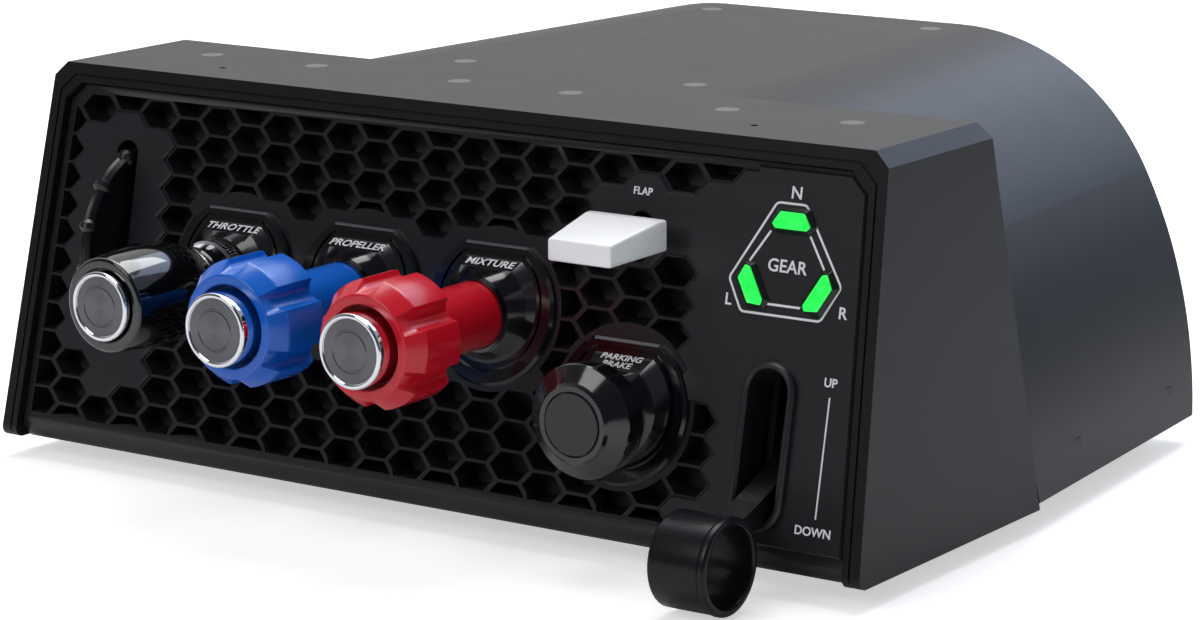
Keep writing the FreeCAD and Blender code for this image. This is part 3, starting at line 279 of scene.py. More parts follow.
finishes = {
    "housing": dict(colour=(0.0065, 0.0065, 0.0075), dusty=(0.014, 0.014, 0.016), roughness=0.4, spread=0.06,
                    grainScale=2600.0, grainDepth=0.00002, specular=0.28),
    "panel": dict(colour=(0.012, 0.012, 0.015), dusty=(0.016, 0.016, 0.02), roughness=0.32, spread=0.06,
                  grainScale=3200.0, grainDepth=0.000008),
    "plate": dict(colour=(0.014, 0.014, 0.018), dusty=(0.016, 0.016, 0.02), roughness=0.34, spread=0.06,
                  grainScale=3200.0, grainDepth=0.000008),
    "boss": dict(colour=(0.003, 0.003, 0.0045), dusty=(0.008, 0.008, 0.011), roughness=0.2, spread=0.05,
                 grainScale=3600.0, grainDepth=0.000003, coat=0.5, coatRough=0.08),
    "throttleKnob": dict(colour=(0.002, 0.002, 0.003), dusty=(0.006, 0.006, 0.007), roughness=0.12, spread=0.04,
                         grainScale=900.0, grainDepth=0.000001, coat=1.0, coatRough=0.03),
    "brakeKnob": dict(colour=(0.006, 0.006, 0.008), dusty=(0.014, 0.014, 0.016), roughness=0.14, spread=0.03,
                      grainScale=2200.0, grainDepth=0.000001, coat=0.6, coatRough=0.1),
    "brakeCap": dict(colour=(0.02, 0.02, 0.023), dusty=(0.03, 0.03, 0.033), roughness=0.36, spread=0.05,
                     grainScale=3000.0, grainDepth=0.000006),
    "blueKnob": dict(colour=(0.002, 0.115, 0.6), dusty=(0.02, 0.17, 0.62), roughness=0.25, spread=0.05,
                     grainScale=2600.0, grainDepth=0.000004, coat=0.2, coatRough=0.14),
    "redKnob": dict(colour=(0.6, 0.005, 0.02), dusty=(0.64, 0.03, 0.045), roughness=0.25, spread=0.05,
                    grainScale=2600.0, grainDepth=0.000004, coat=0.2, coatRough=0.14),
    "whitePaddle": dict(colour=(0.93, 0.94, 0.97), dusty=(0.84, 0.84, 0.86), roughness=0.28, spread=0.05,
                        grainScale=2600.0, grainDepth=0.000005, coat=0.25, coatRough=0.14),
    "lever": dict(colour=(0.005, 0.005, 0.007), dusty=(0.014, 0.014, 0.017), roughness=0.36, spread=0.06,
                  grainScale=2600.0, grainDepth=0.00001),
    "handle": dict(colour=(0.005, 0.005, 0.0075), dusty=(0.014, 0.014, 0.018), roughness=0.3, spread=0.05,
                   grainScale=2200.0, grainDepth=0.000008, specular=0.3),
    "wheel": dict(colour=(0.005, 0.005, 0.007), dusty=(0.018, 0.018, 0.02), roughness=0.3, spread=0.06,
                  grainScale=2400.0, grainDepth=0.000008),
    "rubber": dict(colour=(0.01, 0.01, 0.01), dusty=(0.04, 0.04, 0.04), roughness=0.75, spread=0.08,
                   grainScale=1800.0, grainDepth=0.00003),
    "base": dict(colour=(0.008, 0.008, 0.009), dusty=(0.022, 0.022, 0.025), roughness=0.5, spread=0.06,
                 grainScale=1600.0, grainDepth=0.00004),
    # near black, far darker than the other plastics: painted shade for the depths of the honeycomb cells
    "backing": dict(colour=(0.0015, 0.0015, 0.002), dusty=(0.004, 0.004, 0.005), roughness=0.5, spread=0.06,
                    grainScale=1600.0, grainDepth=0.00001),
    "innerPlastic": dict(colour=(0.006, 0.006, 0.007), dusty=(0.012, 0.012, 0.013), roughness=0.5, spread=0.06,
                         grainScale=1600.0, grainDepth=0.00002),
    # dark green: the lenses' own sloping sides, a painted shade and painted glow beside the lit lens tops
    "lensSidePaintedShade": dict(colour=(0.003, 0.012, 0.005), dusty=(0.008, 0.02, 0.01), roughness=0.3, spread=0.05,
                      grainScale=3000.0, grainDepth=0.000004),
    "circuitBoard": dict(colour=(0.01, 0.09, 0.035), dusty=(0.02, 0.12, 0.05), roughness=0.35, spread=0.05,
                         grainScale=1200.0, grainDepth=0.00001),
}
materials = {name: mouldedMaterial(name, **values) for name, values in finishes.items()}
materials["steel"] = metalMaterial("steel", (0.55, 0.56, 0.58), 0.26, 0.08)
materials["sheetSteel"] = metalMaterial("sheetSteel", (0.45, 0.46, 0.47), 0.42, 0.1)
materials["screwBlack"] = metalMaterial("screwBlack", (0.16, 0.16, 0.17), 0.36, 0.08)
materials["chrome"] = metalMaterial("chrome", (0.86, 0.87, 0.89), 0.1, 0.04)
materials["knurl"] = metalMaterial("knurl", (0.26, 0.26, 0.27), 0.3, 0.08)


def lampMaterial():
    material = bpy.data.materials.new("litGreen")
    material.use_nodes = True
    tree = material.node_tree
    shader = tree.nodes["Principled BSDF"]
    handling = groupNode(tree, "handling", Mark_Scale=260.0)
    green = colourMix(tree, handling.outputs["Marks"], (0.0, 0.6, 0.04), (0.06, 0.86, 0.16))
    tree.links.new(green, shader.inputs["Base Color"])
    tree.links.new(green, shader.inputs["Emission Color"])
    shader.inputs["Emission Strength"].default_value = 0.85
    shader.inputs["Roughness"].default_value = 0.25
    shader.inputs["Coat Weight"].default_value = 0.5
    return material


def inkMaterial():
    material = bpy.data.materials.new("whiteInk")
    material.use_nodes = True
    tree = material.node_tree
    shader = tree.nodes["Principled BSDF"]
    handling = groupNode(tree, "handling", Mark_Scale=900.0)
    tone = colourMix(tree, handling.outputs["Marks"], (0.82, 0.83, 0.85), (0.7, 0.71, 0.73))
    tree.links.new(tone, shader.inputs["Base Color"])
    shader.inputs["Roughness"].default_value = 0.55
    return material


materials["litGreen"] = lampMaterial()
materials["whiteInk"] = inkMaterial()
print("materials ready", len(materials))

# the CAD nodes and their finishes
nodeFinish = {
    "housing": ["hood_shell", "rear_shell"],
    "panel": ["honeycomb_panel"],
    "plate": ["trim_plate", "gear_plate", "gear_slot_rim"],
    "boss": ["boss_throttle", "boss_propeller", "boss_mixture", "boss_brake"],
    "throttleKnob": ["knob_throttle"],
    "brakeKnob": ["knob_brake"],
    "brakeCap": ["brake_cap"],
    "blueKnob": ["knob_propeller"],
    "redKnob": ["knob_mixture"],
    "whitePaddle": ["flap_paddle"],
    "lever": ["gear_lever", "flap_lever"],
    "handle": ["gear_handle"],
    "wheel": ["trim_wheel"],
    "rubber": ["rubber_feet"],
    "base": ["base_plate", "rear_cover"],
    "backing": ["panel_backing"],
    "innerPlastic": ["cross_beam", "rear_bushes", "brake_switch", "trim_bracket", "trim_encoder", "gear_bracket",
                     "flap_bracket", "carriage_throttle", "carriage_propeller", "carriage_mixture"],
    "circuitBoard": ["main_board", "light_board"],
    "steel": ["shaft_throttle", "shaft_propeller", "shaft_mixture", "shaft_brake", "trim_axle", "gear_axle",
              "flap_axle", "usb_socket"],
    "sheetSteel": ["shell_ties", "slide_sensors", "bulkhead", "sensor_tray", "brake_bracket"],
    "screwBlack": ["top_screws", "base_screws"],
    "chrome": ["throttle_trim_ring", "friction_ring_cap", "button_throttle", "button_propeller", "button_mixture"],
    "knurl": ["friction_ring"],
    "litGreen": ["gear_lamp_nose", "gear_lamp_left", "gear_lamp_right"],
}
smoothAngle = math.radians(28)


def dressNode(node, material):
    piece = frame["nodes"][node]
    piece.data.materials.clear()
    piece.data.materials.append(material)
    piece.data.shade_smooth()
    piece.data.set_sharp_from_angle(angle=smoothAngle)


for finish, nodes in nodeFinish.items():
    for node in nodes:
        dressNode(node, materials[finish])
print("finishes on", sum(len(nodes) for nodes in nodeFinish.values()), "nodes")


# the path through the points (x, y and an optional corner radius), with an arc at each such corner
def roundedPath(points, closed=False, steps=6):
    track = []
    count = len(points)
    for index, (x, y, *radius) in enumerate(points):
        here = Vector((x, y))
        if not radius or (not closed and index in (0, count - 1)):
            track.append(here)
            continue
        before = (Vector(points[index - 1][:2]) - here).normalized()
        after = (Vector(points[(index + 1) % count][:2]) - here).normalized()
        opening = before.angle(after)
        reach = radius[0] / math.tan(opening / 2)
        centre = here + (before + after).normalized() * (radius[0] / math.sin(opening / 2))
        first = here + before * reach - centre
        turn = first.angle_signed(here + after * reach - centre)
        for step in range(steps + 1):
            track.append(centre + Matrix.Rotation(-turn * step / steps, 2) @ first)
    return track


# a smooth run through the points, with a few places between each two
def smoothCurve(points, steps=6):
    track = []
    count = len(points)
    for index in range(count - 1):
        p0, p1, p2, p3 = (Vector(points[min(max(index + k, 0), count - 1)]) for k in (-1, 0, 1, 2))
        for step in range(steps):
            t = step / steps
            track.append(0.5 * (2 * p1 + (p2 - p0) * t + (2 * p0 - 5 * p1 + 4 * p2 - p3) * t ** 2
                                + (3 * p1 - p0 - 3 * p2 + p3) * t ** 3))
    return track + [Vector(points[-1])]


# joins each row of corners to the next, all the way round; a row of one corner closes a form
def skinRows(bm, rows):
    rows = [[bm.verts.new(corner) for corner in row] for row in rows]
    for near, far in zip(rows, rows[1:]):
        count = max(len(near), len(far))
        for index in range(count):
            after = (index + 1) % count
            corners = [near[index % len(near)], near[after % len(near)], far[after % len(far)], far[index % len(far)]]
            bm.faces.new(list(dict.fromkeys(corners)))
    return rows


meshRules = {"sharp": 34.0, "weld": 0.0005, "centre": 0.001}    # degrees, then millimetres


# sizes in millimetres become metres here
def finishMesh(bm, name, angle=meshRules["sharp"]):
    bmesh.ops.recalc_face_normals(bm, faces=bm.faces)
    bmesh.ops.scale(bm, vec=(mm, mm, mm), verts=bm.verts)
    mesh = bpy.data.meshes.new(name)
    bm.to_mesh(mesh)
    bm.free()
    mesh.shade_smooth()
    mesh.set_sharp_from_angle(angle=math.radians(angle))
    return mesh


# turned about the local z axis, at a number of even angles or at those in a list
# shape(angle, radius, z) may change the radius
def turnedMesh(name, profile, angles, shape=None, angle=meshRules["sharp"], closed=False):
    turns = [math.tau * index / angles for index in range(angles)] if isinstance(angles, int) else angles
    rows = []
    for radius, z in profile:
        if radius < meshRules["centre"]:
            rows.append([(0, 0, z)])
            continue
        rows.append([(r * math.cos(a), r * math.sin(a), z)
                     for a, r in ((a, shape(a, radius, z) if shape else radius) for a in turns)])
    bm = bmesh.new()
    skinRows(bm, rows + rows[:1] if closed else rows)
    bmesh.ops.remove_doubles(bm, verts=bm.verts, dist=meshRules["weld"])
    return finishMesh(bm, name, angle)


# a piece in place of a CAD node, or beside the one that hides it: same body
def standFor(name, mesh, finish, node, matrix=None, hide=True):
    body = body_of(frame["nodes"][node])[0]
    piece = newObject(name, mesh, body, materials[finish], matrix)
    if hide:
        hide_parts(node)


# a control's own frame: z out of the panel from the row's plane, at the height of its middle
def controlMatrix(node):
    low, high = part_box(node)
    return leverMatrix(Vector(((low.x + high.x) / 2, leverRow.y, (low.z + high.z) / 2)))


boreRadius = 3.2    # the room for the shaft in each grip
throttleKnob = {"rear": 18.0, "front": 56.5, "rim": 13.4, "edge": 1.2, "hole": 10.4, "depth": 5.5, "steps": 128}


def makeThrottleKnob():
    values = throttleKnob
    back, front, rim, hole = values["rear"], values["front"], values["rim"], values["hole"]
    side = smoothCurve([(9.2, back), (10.3, back + 2), (12.1, back + 6), (13.8, back + 12), (14.5, back + 18),
                        (14.55, back + 24), (14.0, back + 32), (rim, front - values["edge"])])
    edge = roundedPath([(rim, front - values["edge"]), (rim - 0.1, front, 0.9), (hole, front, 0.35), (hole, front - 3)])
    profile = [(boreRadius, back), (9.0, back)] + [tuple(p) for p in side + edge]
    profile += [(hole, front - values["depth"]), (boreRadius, front - values["depth"])]
    mesh = turnedMesh("throttleGrip", profile, values["steps"])
    standFor("throttleGrip", mesh, "throttleKnob", "knob_throttle", controlMatrix("knob_throttle"))


vernierKnob = {"sleeve": 9.4, "sleeveRear": 6.4, "rear": 38.0, "front": 58.5, "radius": 17.8, "hole": 11.6,
               "holeFloor": 50.0, "fluteRadius": 3.3, "fluteOffset": 17.7, "flutes": 6, "firstFlute": 30.0,
               "fluteFrom": 14.0, "soft": 0.45,
               "places": [-30, -25, -20, -16, -13.5, -12, -11.2, -10.7, -10.2, -9.6, -8.8, -7.6, -6, -4, -2, 0]}


def makeVernierKnob(name, finish, node):
    values = vernierKnob
    back, front, radius, hole = values["rear"], values["front"], values["radius"], values["hole"]
    sleeve, sleeveRear = values["sleeve"], values["sleeveRear"]
    profile = [(boreRadius, sleeveRear), (sleeve - 0.5, sleeveRear), (sleeve, sleeveRear + 0.5), (sleeve, back - 0.8),
               (sleeve + 0.2, back - 0.25), (sleeve + 0.8, back), (radius - 1.6, back)]
    edge = roundedPath([(radius - 1.6, back), (radius, back, 1.2), (radius, front - 5, 1.6), (14.3, front, 0.7),
                        (hole, front, 0.4), (hole, front - 4)], steps=5)
    profile += [tuple(p) for p in edge] + [(hole, values["holeFloor"]), (boreRadius, values["holeFloor"])]
    first = math.radians(values["firstFlute"])

    # a round-bottomed flute, blended into the grip so that its edges are soft
    def fluted(turn, r, z):
        if z < back or r < values["fluteFrom"]:
            return r
        sector = math.tau / values["flutes"]
        off = (turn - first + sector / 2) % sector - sector / 2
        inside = values["fluteRadius"] ** 2 - (values["fluteOffset"] * math.sin(off)) ** 2
        if inside <= 0:
            return r
        floor = values["fluteOffset"] * math.cos(off) - math.sqrt(inside)
        gap = floor - r
        return min(r, r + (gap - math.sqrt(gap * gap + values["soft"] ** 2)) / 2 + values["soft"] * 0.5)

    spread = values["places"] + [-value for value in values["places"][-2:0:-1]]
    apart = 360 // values["flutes"]
    turns = [math.radians(30 + apart * index + value) for index in range(values["flutes"]) for value in spread]
    standFor(name, turnedMesh(name, profile, turns, fluted), finish, node, controlMatrix(node))


button = {"radius": 10.3, "front": 64.3, "throttleRadius": 9.9, "throttleFront": 58.6, "rear": 53.5, "rimWidth": 1.3,
          "ring": 5.6, "grooveDepth": 0.18, "sunk": 0.35, "steps": 112, "satin": (0.16, 0.16, 0.17)}


# a polished rim round a satin disc with one plain ring
def makeButton(name, node, radius, front):
    rear, ring, deep, steps = button["rear"], button["ring"], button["grooveDepth"], button["steps"]
    rim, face = radius - button["rimWidth"], front - button["sunk"]
    place = controlMatrix(node)
    side = roundedPath([(radius - 0.3, rear), (radius - 0.1, rear + 1), (radius, front, 0.7), (rim, front, 0.3),
                        (rim, front - 0.5)], steps=5)
    rimMesh = turnedMesh(name + "Rim", [(4, rear)] + [tuple(p) for p in side] + [(rim - 0.15, front - 0.5)], steps)
    standFor(name + "Rim", rimMesh, "chrome", node, place)
    disc = [(rim - 0.02, face - 1.5), (rim - 0.02, face - 0.25), (rim - 0.3, face), (ring + 0.35, face),
            (ring + 0.2, face - deep), (ring - 0.2, face - deep), (ring - 0.35, face), (0, face + 0.02)]
    # the satin disc gets painted sheen sectors round the button's middle, besides its real turned rings
    materials[name + "Satin"] = metalMaterial(name + "Satin", button["satin"], 0.3, 0.05, place.translation)
    standFor(name + "Disc", turnedMesh(name + "Disc", disc, steps), name + "Satin", node, place, False)


friction = {"radius": 10.5, "rear": 6.1, "front": 10.4, "bore": 9.0, "teeth": 64, "depth": 0.32, "plain": 0.3,
            "sharp": 50}


def makeFrictionRing():
    values = friction
    low, high, radius, bore = values["rear"], values["front"], values["radius"], values["bore"]

    def knurled(turn, r, z):
        if z < low + values["plain"] or z > high - values["plain"]:
            return r
        return r - values["depth"] * (0.5 - 0.5 * math.cos(turn * values["teeth"]))

    profile = [(bore, low), (radius - 0.4, low), (radius, low + 0.5), (radius, high - 0.5), (radius - 0.4, high),
               (bore, high)]
    mesh = turnedMesh("frictionKnurl", profile, values["teeth"] * 6, knurled, values["sharp"])
    standFor("frictionKnurl", mesh, "knurl", "friction_ring", controlMatrix("friction_ring"))


paddle = {"rear": 1.3, "front": 25.0, "rearHalf": 12.6, "frontHalf": 10.1, "edge": 0.9, "edgeSteps": 5,
          "side": [(1.3, 23.0, 0.8), (1.3, 31.6, 0.9), (4.6, 31.6, 3.0), (25.0, 28.0, 0.9), (25.0, 21.9, 0.8)]}


# the section along the paddle is swept across it, and drawn in towards each side for a soft edge
def makePaddle():
    values = paddle
    track = roundedPath(values["side"], closed=True, steps=5)
    count = len(track)
    inward = []
    for index, here in enumerate(track):
        along = (track[(index + 1) % count] - track[index - 1]).normalized()
        inward.append(Vector((along.y, -along.x)))
    rows = []
    slope = (values["frontHalf"] - values["rearHalf"]) / (values["front"] - values["rear"])
    last = values["edgeSteps"]
    for sign, steps in ((-1, range(last + 1)), (1, range(last, -1, -1))):
        for step in steps:
            turn = math.pi / 2 * step / last
            drawn = values["edge"] * (1 - math.sin(turn))
            short = values["edge"] * (1 - math.cos(turn))
            row = []
            for here, side in zip(track, inward):
                spot = here + side * drawn
                half = values["rearHalf"] + slope * (spot.x - values["rear"]) - short
                row.append((sign * half, -spot.x, spot.y))
            rows.append(row)
    bm = bmesh.new()
    made = skinRows(bm, rows)
    bm.faces.new(made[0])
    bm.faces.new(made[-1])
    low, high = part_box("flap_paddle")
    place = Matrix.Translation(Vector(((low.x + high.x) / 2, leverRow.y, leverRow.z)))
    standFor("flapGrip", finishMesh(bm, "flapGrip"), "whitePaddle", "flap_paddle", place)


honeycomb = {"wider": 0.24, "lift": 1.7, "cellWidth": 14.6, "cellHeight": 7.6, "wallTilt": 0.05, "roundCorners": 14,
             "roundness": 1.06, "leastHalf": 2, "frontDepth": 1}


# thinner ridges at the front of the cells, and cells that run level behind them
def makeHoneycomb():
    values = honeycomb
    least = values["leastHalf"]
    mesh = frame["nodes"]["honeycomb_panel"].data.copy()
    mesh.name = "honeycombFront"
    bm = bmesh.new()
    bm.from_mesh(mesh)
    bmesh.ops.remove_doubles(bm, verts=bm.verts, dist=1e-6)
    bm.normal_update()
    spots = {v: ((v.co - panelMiddle).dot(acrossPanel) / mm, (v.co - panelMiddle).dot(upPanel) / mm,
                 (v.co - panelMiddle).dot(outOfPanel) / mm) for v in bm.verts}
    walls = {f for f in bm.faces if abs(f.normal.dot(outOfPanel)) < values["wallTilt"]}
    seen = set()
    changed = 0
    for face in walls:
        if face in seen:
            continue
        group, waiting = [], [face]
        seen.add(face)
        while waiting:
            here = waiting.pop()
            group.append(here)
            for edge in here.edges:
                for other in edge.link_faces:
                    if other in walls and other not in seen:
                        seen.add(other)
                        waiting.append(other)
        corners = {v for f in group for v in f.verts}
        us = [spots[v][0] for v in corners]
        vs = [spots[v][1] for v in corners]
        if max(us) - min(us) > values["cellWidth"] or max(vs) - min(vs) > values["cellHeight"]:
            continue
        middle = ((max(us) + min(us)) / 2, (max(vs) + min(vs)) / 2)
        reach = [math.hypot(spots[v][0] - middle[0], spots[v][1] - middle[1]) for v in corners]
        if max(reach) < values["roundness"] * min(reach) and len(corners) > values["roundCorners"]:
            continue    # a round hole
        halfU, halfV = (max(us) - min(us)) / 2, (max(vs) - min(vs)) / 2
        changed += 1
        for v in corners:
            u, w, d = spots[v]
            if d > -values["frontDepth"]:
                stretchU = (u - middle[0]) * values["wider"] / max(halfU, least)
                stretchV = (w - middle[1]) * values["wider"] / max(halfV, least)
                v.co += (acrossPanel * stretchU + upPanel * stretchV) * mm
            else:
                v.co += upPanel * values["lift"] * mm
    bm.to_mesh(mesh)
    bm.free()
    mesh.set_sharp_from_angle(angle=smoothAngle)
    standFor("honeycombFront", mesh, "panel", "honeycomb_panel")
    print("honeycomb cells shaped", changed)


gearGrip = {"half": 9.0, "radius": 12.9, "bead": 13.15, "beadWidth": 2.3, "crease": 0.3, "hole": 10.9, "steps": 112}


# open drum with a soft left end and a bead at its right end, its axis across
def makeGearGrip():
    values = gearGrip
    hole, radius, half = values["hole"], values["radius"], values["half"]
    bead, crease = half - values["beadWidth"], values["crease"]
    section = roundedPath([(hole, -half, 0.5), (radius, -half, 1.3), (radius, bead - crease), (radius - crease, bead),
                           (values["bead"], bead + 0.2, 0.3), (values["bead"], half, 1.0), (hole, half, 0.8)],
                          closed=True, steps=5)
    mesh = turnedMesh("gearGrip", [tuple(p) for p in section], values["steps"], closed=True)
    low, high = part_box("gear_handle")
    place = Matrix.Translation((low + high) / 2) @ Matrix.Rotation(math.radians(90), 4, "Y")
    standFor("gearGrip", mesh, "handle", "gear_handle", place)


slotRim = {"half": 6.0, "halfLength": 20.5, "endSteps": 32, "sharp": 40,
           "section": [(0, 1.2), (0, 2.7, 0.5), (0.55, 3.4, 0.5), (1.5, 3.4, 0.6), (2.1, 2.5, 0.4), (2.1, 1.2)]}


def makeSlotRim():
    values = slotRim
    straight = values["halfLength"] - values["half"]
    section = roundedPath(values["section"], steps=3)
    rows = []
    for start, end in ((0, straight), (math.pi, -straight)):
        for step in range(values["endSteps"] + 1):
            turn = math.pi * step / values["endSteps"] + start
            rows.append([((values["half"] + p.x) * math.cos(turn), (values["half"] + p.x) * math.sin(turn) + end, p.y)
                         for p in section])
    bm = bmesh.new()
    skinRows(bm, rows + rows[:1])
    bmesh.ops.remove_doubles(bm, verts=bm.verts, dist=meshRules["weld"])
    low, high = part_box("gear_slot_rim")
    u = (low.x + high.x) / 2 / mm
    v = ((low + high) / 2 - panelMiddle).dot(upPanel) / mm
    mesh = finishMesh(bm, "gearSlotEdge", values["sharp"])
    standFor("gearSlotEdge", mesh, "plate", "gear_slot_rim", panelMatrix(u, v, 0))


gearLamp = {"centre": (116.8, 21.9), "ringRadius": 12.3, "topHalf": 3.7, "bottomHalf": 6.0, "height": 4.7, "cut": 1.2,
            "skirt": 1.15, "foot": 1.2, "rise": 1.5, "lens": 0.25, "sharp": 30,
            "turns": {"nose": 90, "left": 210, "right": 330}}


# a sloping skirt, the lens's own sides in a dark green of painted shade and painted glow, with the lit lens on top;
# wide side towards the middle of the three
def makeGearLamp(name, turn):
    values = gearLamp
    top, bottom, tall, cut = values["topHalf"], values["bottomHalf"], values["height"] / 2, values["cut"]

    def outline(grow, d):
        corners = [(-bottom + cut - grow * 0.5, -tall - grow), (bottom - cut + grow * 0.5, -tall - grow),
                   (bottom + grow, -tall + cut), (top + grow, tall + grow), (-top - grow, tall + grow),
                   (-bottom - grow, -tall + cut)]
        return [(*p, d) for p in roundedPath([(*corner, 0.5) for corner in corners], True, 4)]

    foot, rise = values["foot"], values["foot"] + values["rise"]
    lens = rise + values["lens"]
    u = values["centre"][0] + values["ringRadius"] * math.cos(math.radians(turn))
    v = values["centre"][1] + values["ringRadius"] * math.sin(math.radians(turn))
    node, place = "gear_lamp_" + name, panelMatrix(u, v, 0, turn - 90)
    skirt = bmesh.new()
    skinRows(skirt, [outline(values["skirt"], foot), outline(values["skirt"], foot + 0.35), outline(0.25, rise),
                     outline(0.0, rise), outline(0.0, rise - 0.3)])
    skirtName, lensName = "lensSidePaintedShade" + name.title(), "lampLens" + name.title()
    standFor(skirtName, finishMesh(skirt, skirtName, values["sharp"]), "lensSidePaintedShade", node, place)
    glass = bmesh.new()
    rows = skinRows(glass, [outline(-0.06, rise - 0.3), outline(-0.06, lens - 0.15), outline(-0.25, lens)])
    glass.faces.new(rows[-1])
    standFor(lensName, finishMesh(glass, lensName, values["sharp"]), "litGreen", node, place, False)


makeHoneycomb()
makeGearGrip()
makeSlotRim()
for lampName, lampTurn in gearLamp["turns"].items():
    makeGearLamp(lampName, lampTurn)
makeThrottleKnob()
makeVernierKnob("propellerGrip", "blueKnob", "knob_propeller")
makeVernierKnob("mixtureGrip", "redKnob", "knob_mixture")
makeButton("throttleButton", "button_throttle", button["throttleRadius"], button["throttleFront"])
makeButton("propellerButton", "button_propeller", button["radius"], button["front"])
makeButton("mixtureButton", "button_mixture", button["radius"], button["front"])
makeFrictionRing()
makePaddle()
print("shaped pieces ready")

# lettering and lines on the panel
labelStyle = {"raise": 0.04, "boldness": 0.07, "capShare": 0.729, "lineSpace": 0.94, "curveSteps": 4}


def label(name, text, matrix, capHeight, spacing=1.0):
    curve = bpy.data.curves.new(name, "FONT")
    curve.body = text
    curve.align_x = "CENTER"
    curve.align_y = "CENTER"
    curve.size = capHeight * mm / labelStyle["capShare"]
    curve.space_character = spacing
    curve.space_line = labelStyle["lineSpace"]
    curve.offset = labelStyle["boldness"] * mm
    curve.extrude = labelStyle["raise"] * mm
    curve.resolution_u = labelStyle["curveSteps"]
    holder = bpy.data.objects.new(name, curve)
    bpy.context.scene.collection.objects.link(holder)
    bpy.context.view_layer.update()
    mesh = bpy.data.meshes.new_from_object(holder.evaluated_get(bpy.context.evaluated_depsgraph_get()))
    bpy.data.objects.remove(holder)
    mesh.name = name
    return newObject(name, mesh, "root", materials["whiteInk"], matrix)


plateTop = 1.2
panelLabels = {
    "labelNose": ("NOSE", -123.7, 31.9, 0.0, 2.3),
    "labelNoseDown": ("DOWN", -123.7, 28.6, 0.0, 2.3),
    "labelFlap": ("FLAP", 68.6, 37.2, plateTop, 2.1),
    "labelNoseGear": ("N", 116.6, 41.5, plateTop, 3.4),
    "labelLeftGear": ("L", 99.3, 11.6, plateTop, 3.2),
    "labelRightGear": ("R", 134.5, 11.8, plateTop, 3.2),
    "labelGear": ("GEAR", 116.2, 22.0, plateTop, 3.5),
    "labelUp": ("UP", 133.4, -6.5, plateTop, 2.4),
    "labelDown": ("DOWN", 133.2, -45.7, plateTop, 2.4),
}
for name, (text, u, v, d, cap) in panelLabels.items():
    label(name, text, panelMatrix(u, v, d + labelStyle["raise"]), cap)


# a flat printed line of even width through the points, with round corners
def printedLine(name, points, width, radius, closed, d):
    mesh = bpy.data.meshes.new(name)
    bm = bmesh.new()
    track = roundedPath([(*point, radius) for point in points], closed, 8)
    size = len(track)
    rows = []
    for index, here in enumerate(track):
        back = track[index - 1] if closed or index else here
        ahead = track[(index + 1) % size] if closed or index < size - 1 else here
        direction = (ahead - back).normalized()
        side = Vector((-direction.y, direction.x)) * width / 2
        rows.append([bm.verts.new((*(here + side * sign), z)) for sign, z in ((1, 0), (1, 0.06), (-1, 0.06), (-1, 0))])
    spans = size if closed else size - 1
    for index in range(spans):
        near, far = rows[index], rows[(index + 1) % size]
        for side in range(4):
            other = (side + 1) % 4
            bm.faces.new((near[side], near[other], far[other], far[side]))
    if not closed:
        bm.faces.new(rows[0])
        bm.faces.new(rows[-1][::-1])
    bmesh.ops.recalc_face_normals(bm, faces=bm.faces)
    bmesh.ops.scale(bm, vec=(mm, mm, mm), verts=bm.verts)
    bm.to_mesh(mesh)
    bm.free()
    return newObject(name, mesh, "root", materials["whiteInk"], panelMatrix(0, 0, d))


gearLegend = {
    "lineWidth": 0.62,
    "outline": [(111.0, 38.7), (120.0, 38.7), (133.2, 18.5), (128.0, 9.0), (103.5, 9.0), (98.8, 17.5)],
    "innerLines": [((110.0, 31.0), (104.5, 22.5)), ((122.0, 31.0), (127.5, 22.5)), ((110.5, 11.8), (121.5, 11.8))],
    "travelLine": ((133.6, -10.2), (133.6, -42.2)),
}
printedLine("gearOutline", gearLegend["outline"], gearLegend["lineWidth"], 1.8, True, plateTop)
for number, ends in enumerate(gearLegend["innerLines"]):
    printedLine("gearInnerLine" + str(number), ends, gearLegend["lineWidth"], 1.0, False, plateTop)
printedLine("gearTravelLine", gearLegend["travelLine"], 0.45, 1.0, False, plateTop)

# lettering on the bosses' sloping upper facets
facet = {"up": 12.6, "out": 3.75, "tip": 50.9}
brakeFacet = {"up": 12.3, "out": 4.2, "tip": 51.1}
bossLabels = {
    "labelThrottle": ("THROTTLE", "boss_throttle", 2.8, 1.02),
    "labelPropeller": ("PROPELLER", "boss_propeller", 2.8, 1.0),
    "labelMixture": ("MIXTURE", "boss_mixture", 2.8, 1.02),
    "labelBrake": ("PARKING\nBRAKE", "boss_brake", 2.3, 1.0),
}
for name, (text, node, cap, spacing) in bossLabels.items():
    low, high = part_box(node)
    u = (low.x + high.x) / 2 / mm + (0.8 if name == "labelThrottle" else 0.0)
    v = -21.15 if name == "labelBrake" else 0.0
    spot = brakeFacet if name == "labelBrake" else facet
    matrix = panelMatrix(u, v + spot["up"], spot["out"], 0, -spot["tip"])
    label(name, text, matrix, cap, spacing=spacing)
print("lettering ready")

# camera, light and floor
cameraSpot = {"azimuth": 34.51, "elevation": 12.285, "roll": -0.17, "lens": 116.13, "sensor": 36.0,
              "place": (0.6388, -0.92315, 0.2901)}


def makeCamera():
    data = bpy.data.cameras.new("camera")
    data.lens = cameraSpot["lens"]
    data.sensor_width = cameraSpot["sensor"]
    data.clip_start = 0.05
    camera = bpy.data.objects.new("camera", data)
    bpy.context.scene.collection.objects.link(camera)
    azimuth = math.radians(cameraSpot["azimuth"])
    elevation = math.radians(cameraSpot["elevation"])
    back = Vector((math.sin(azimuth) * math.cos(elevation), -math.cos(azimuth) * math.cos(elevation),
                   math.sin(elevation)))
    camera.location = cameraSpot["place"]
    camera.rotation_mode = "QUATERNION"
    roll = Quaternion((0, 0, 1), math.radians(cameraSpot["roll"]))
    camera.rotation_quaternion = (-back).to_track_quat("-Z", "Y") @ roll
    bpy.context.scene.camera = camera


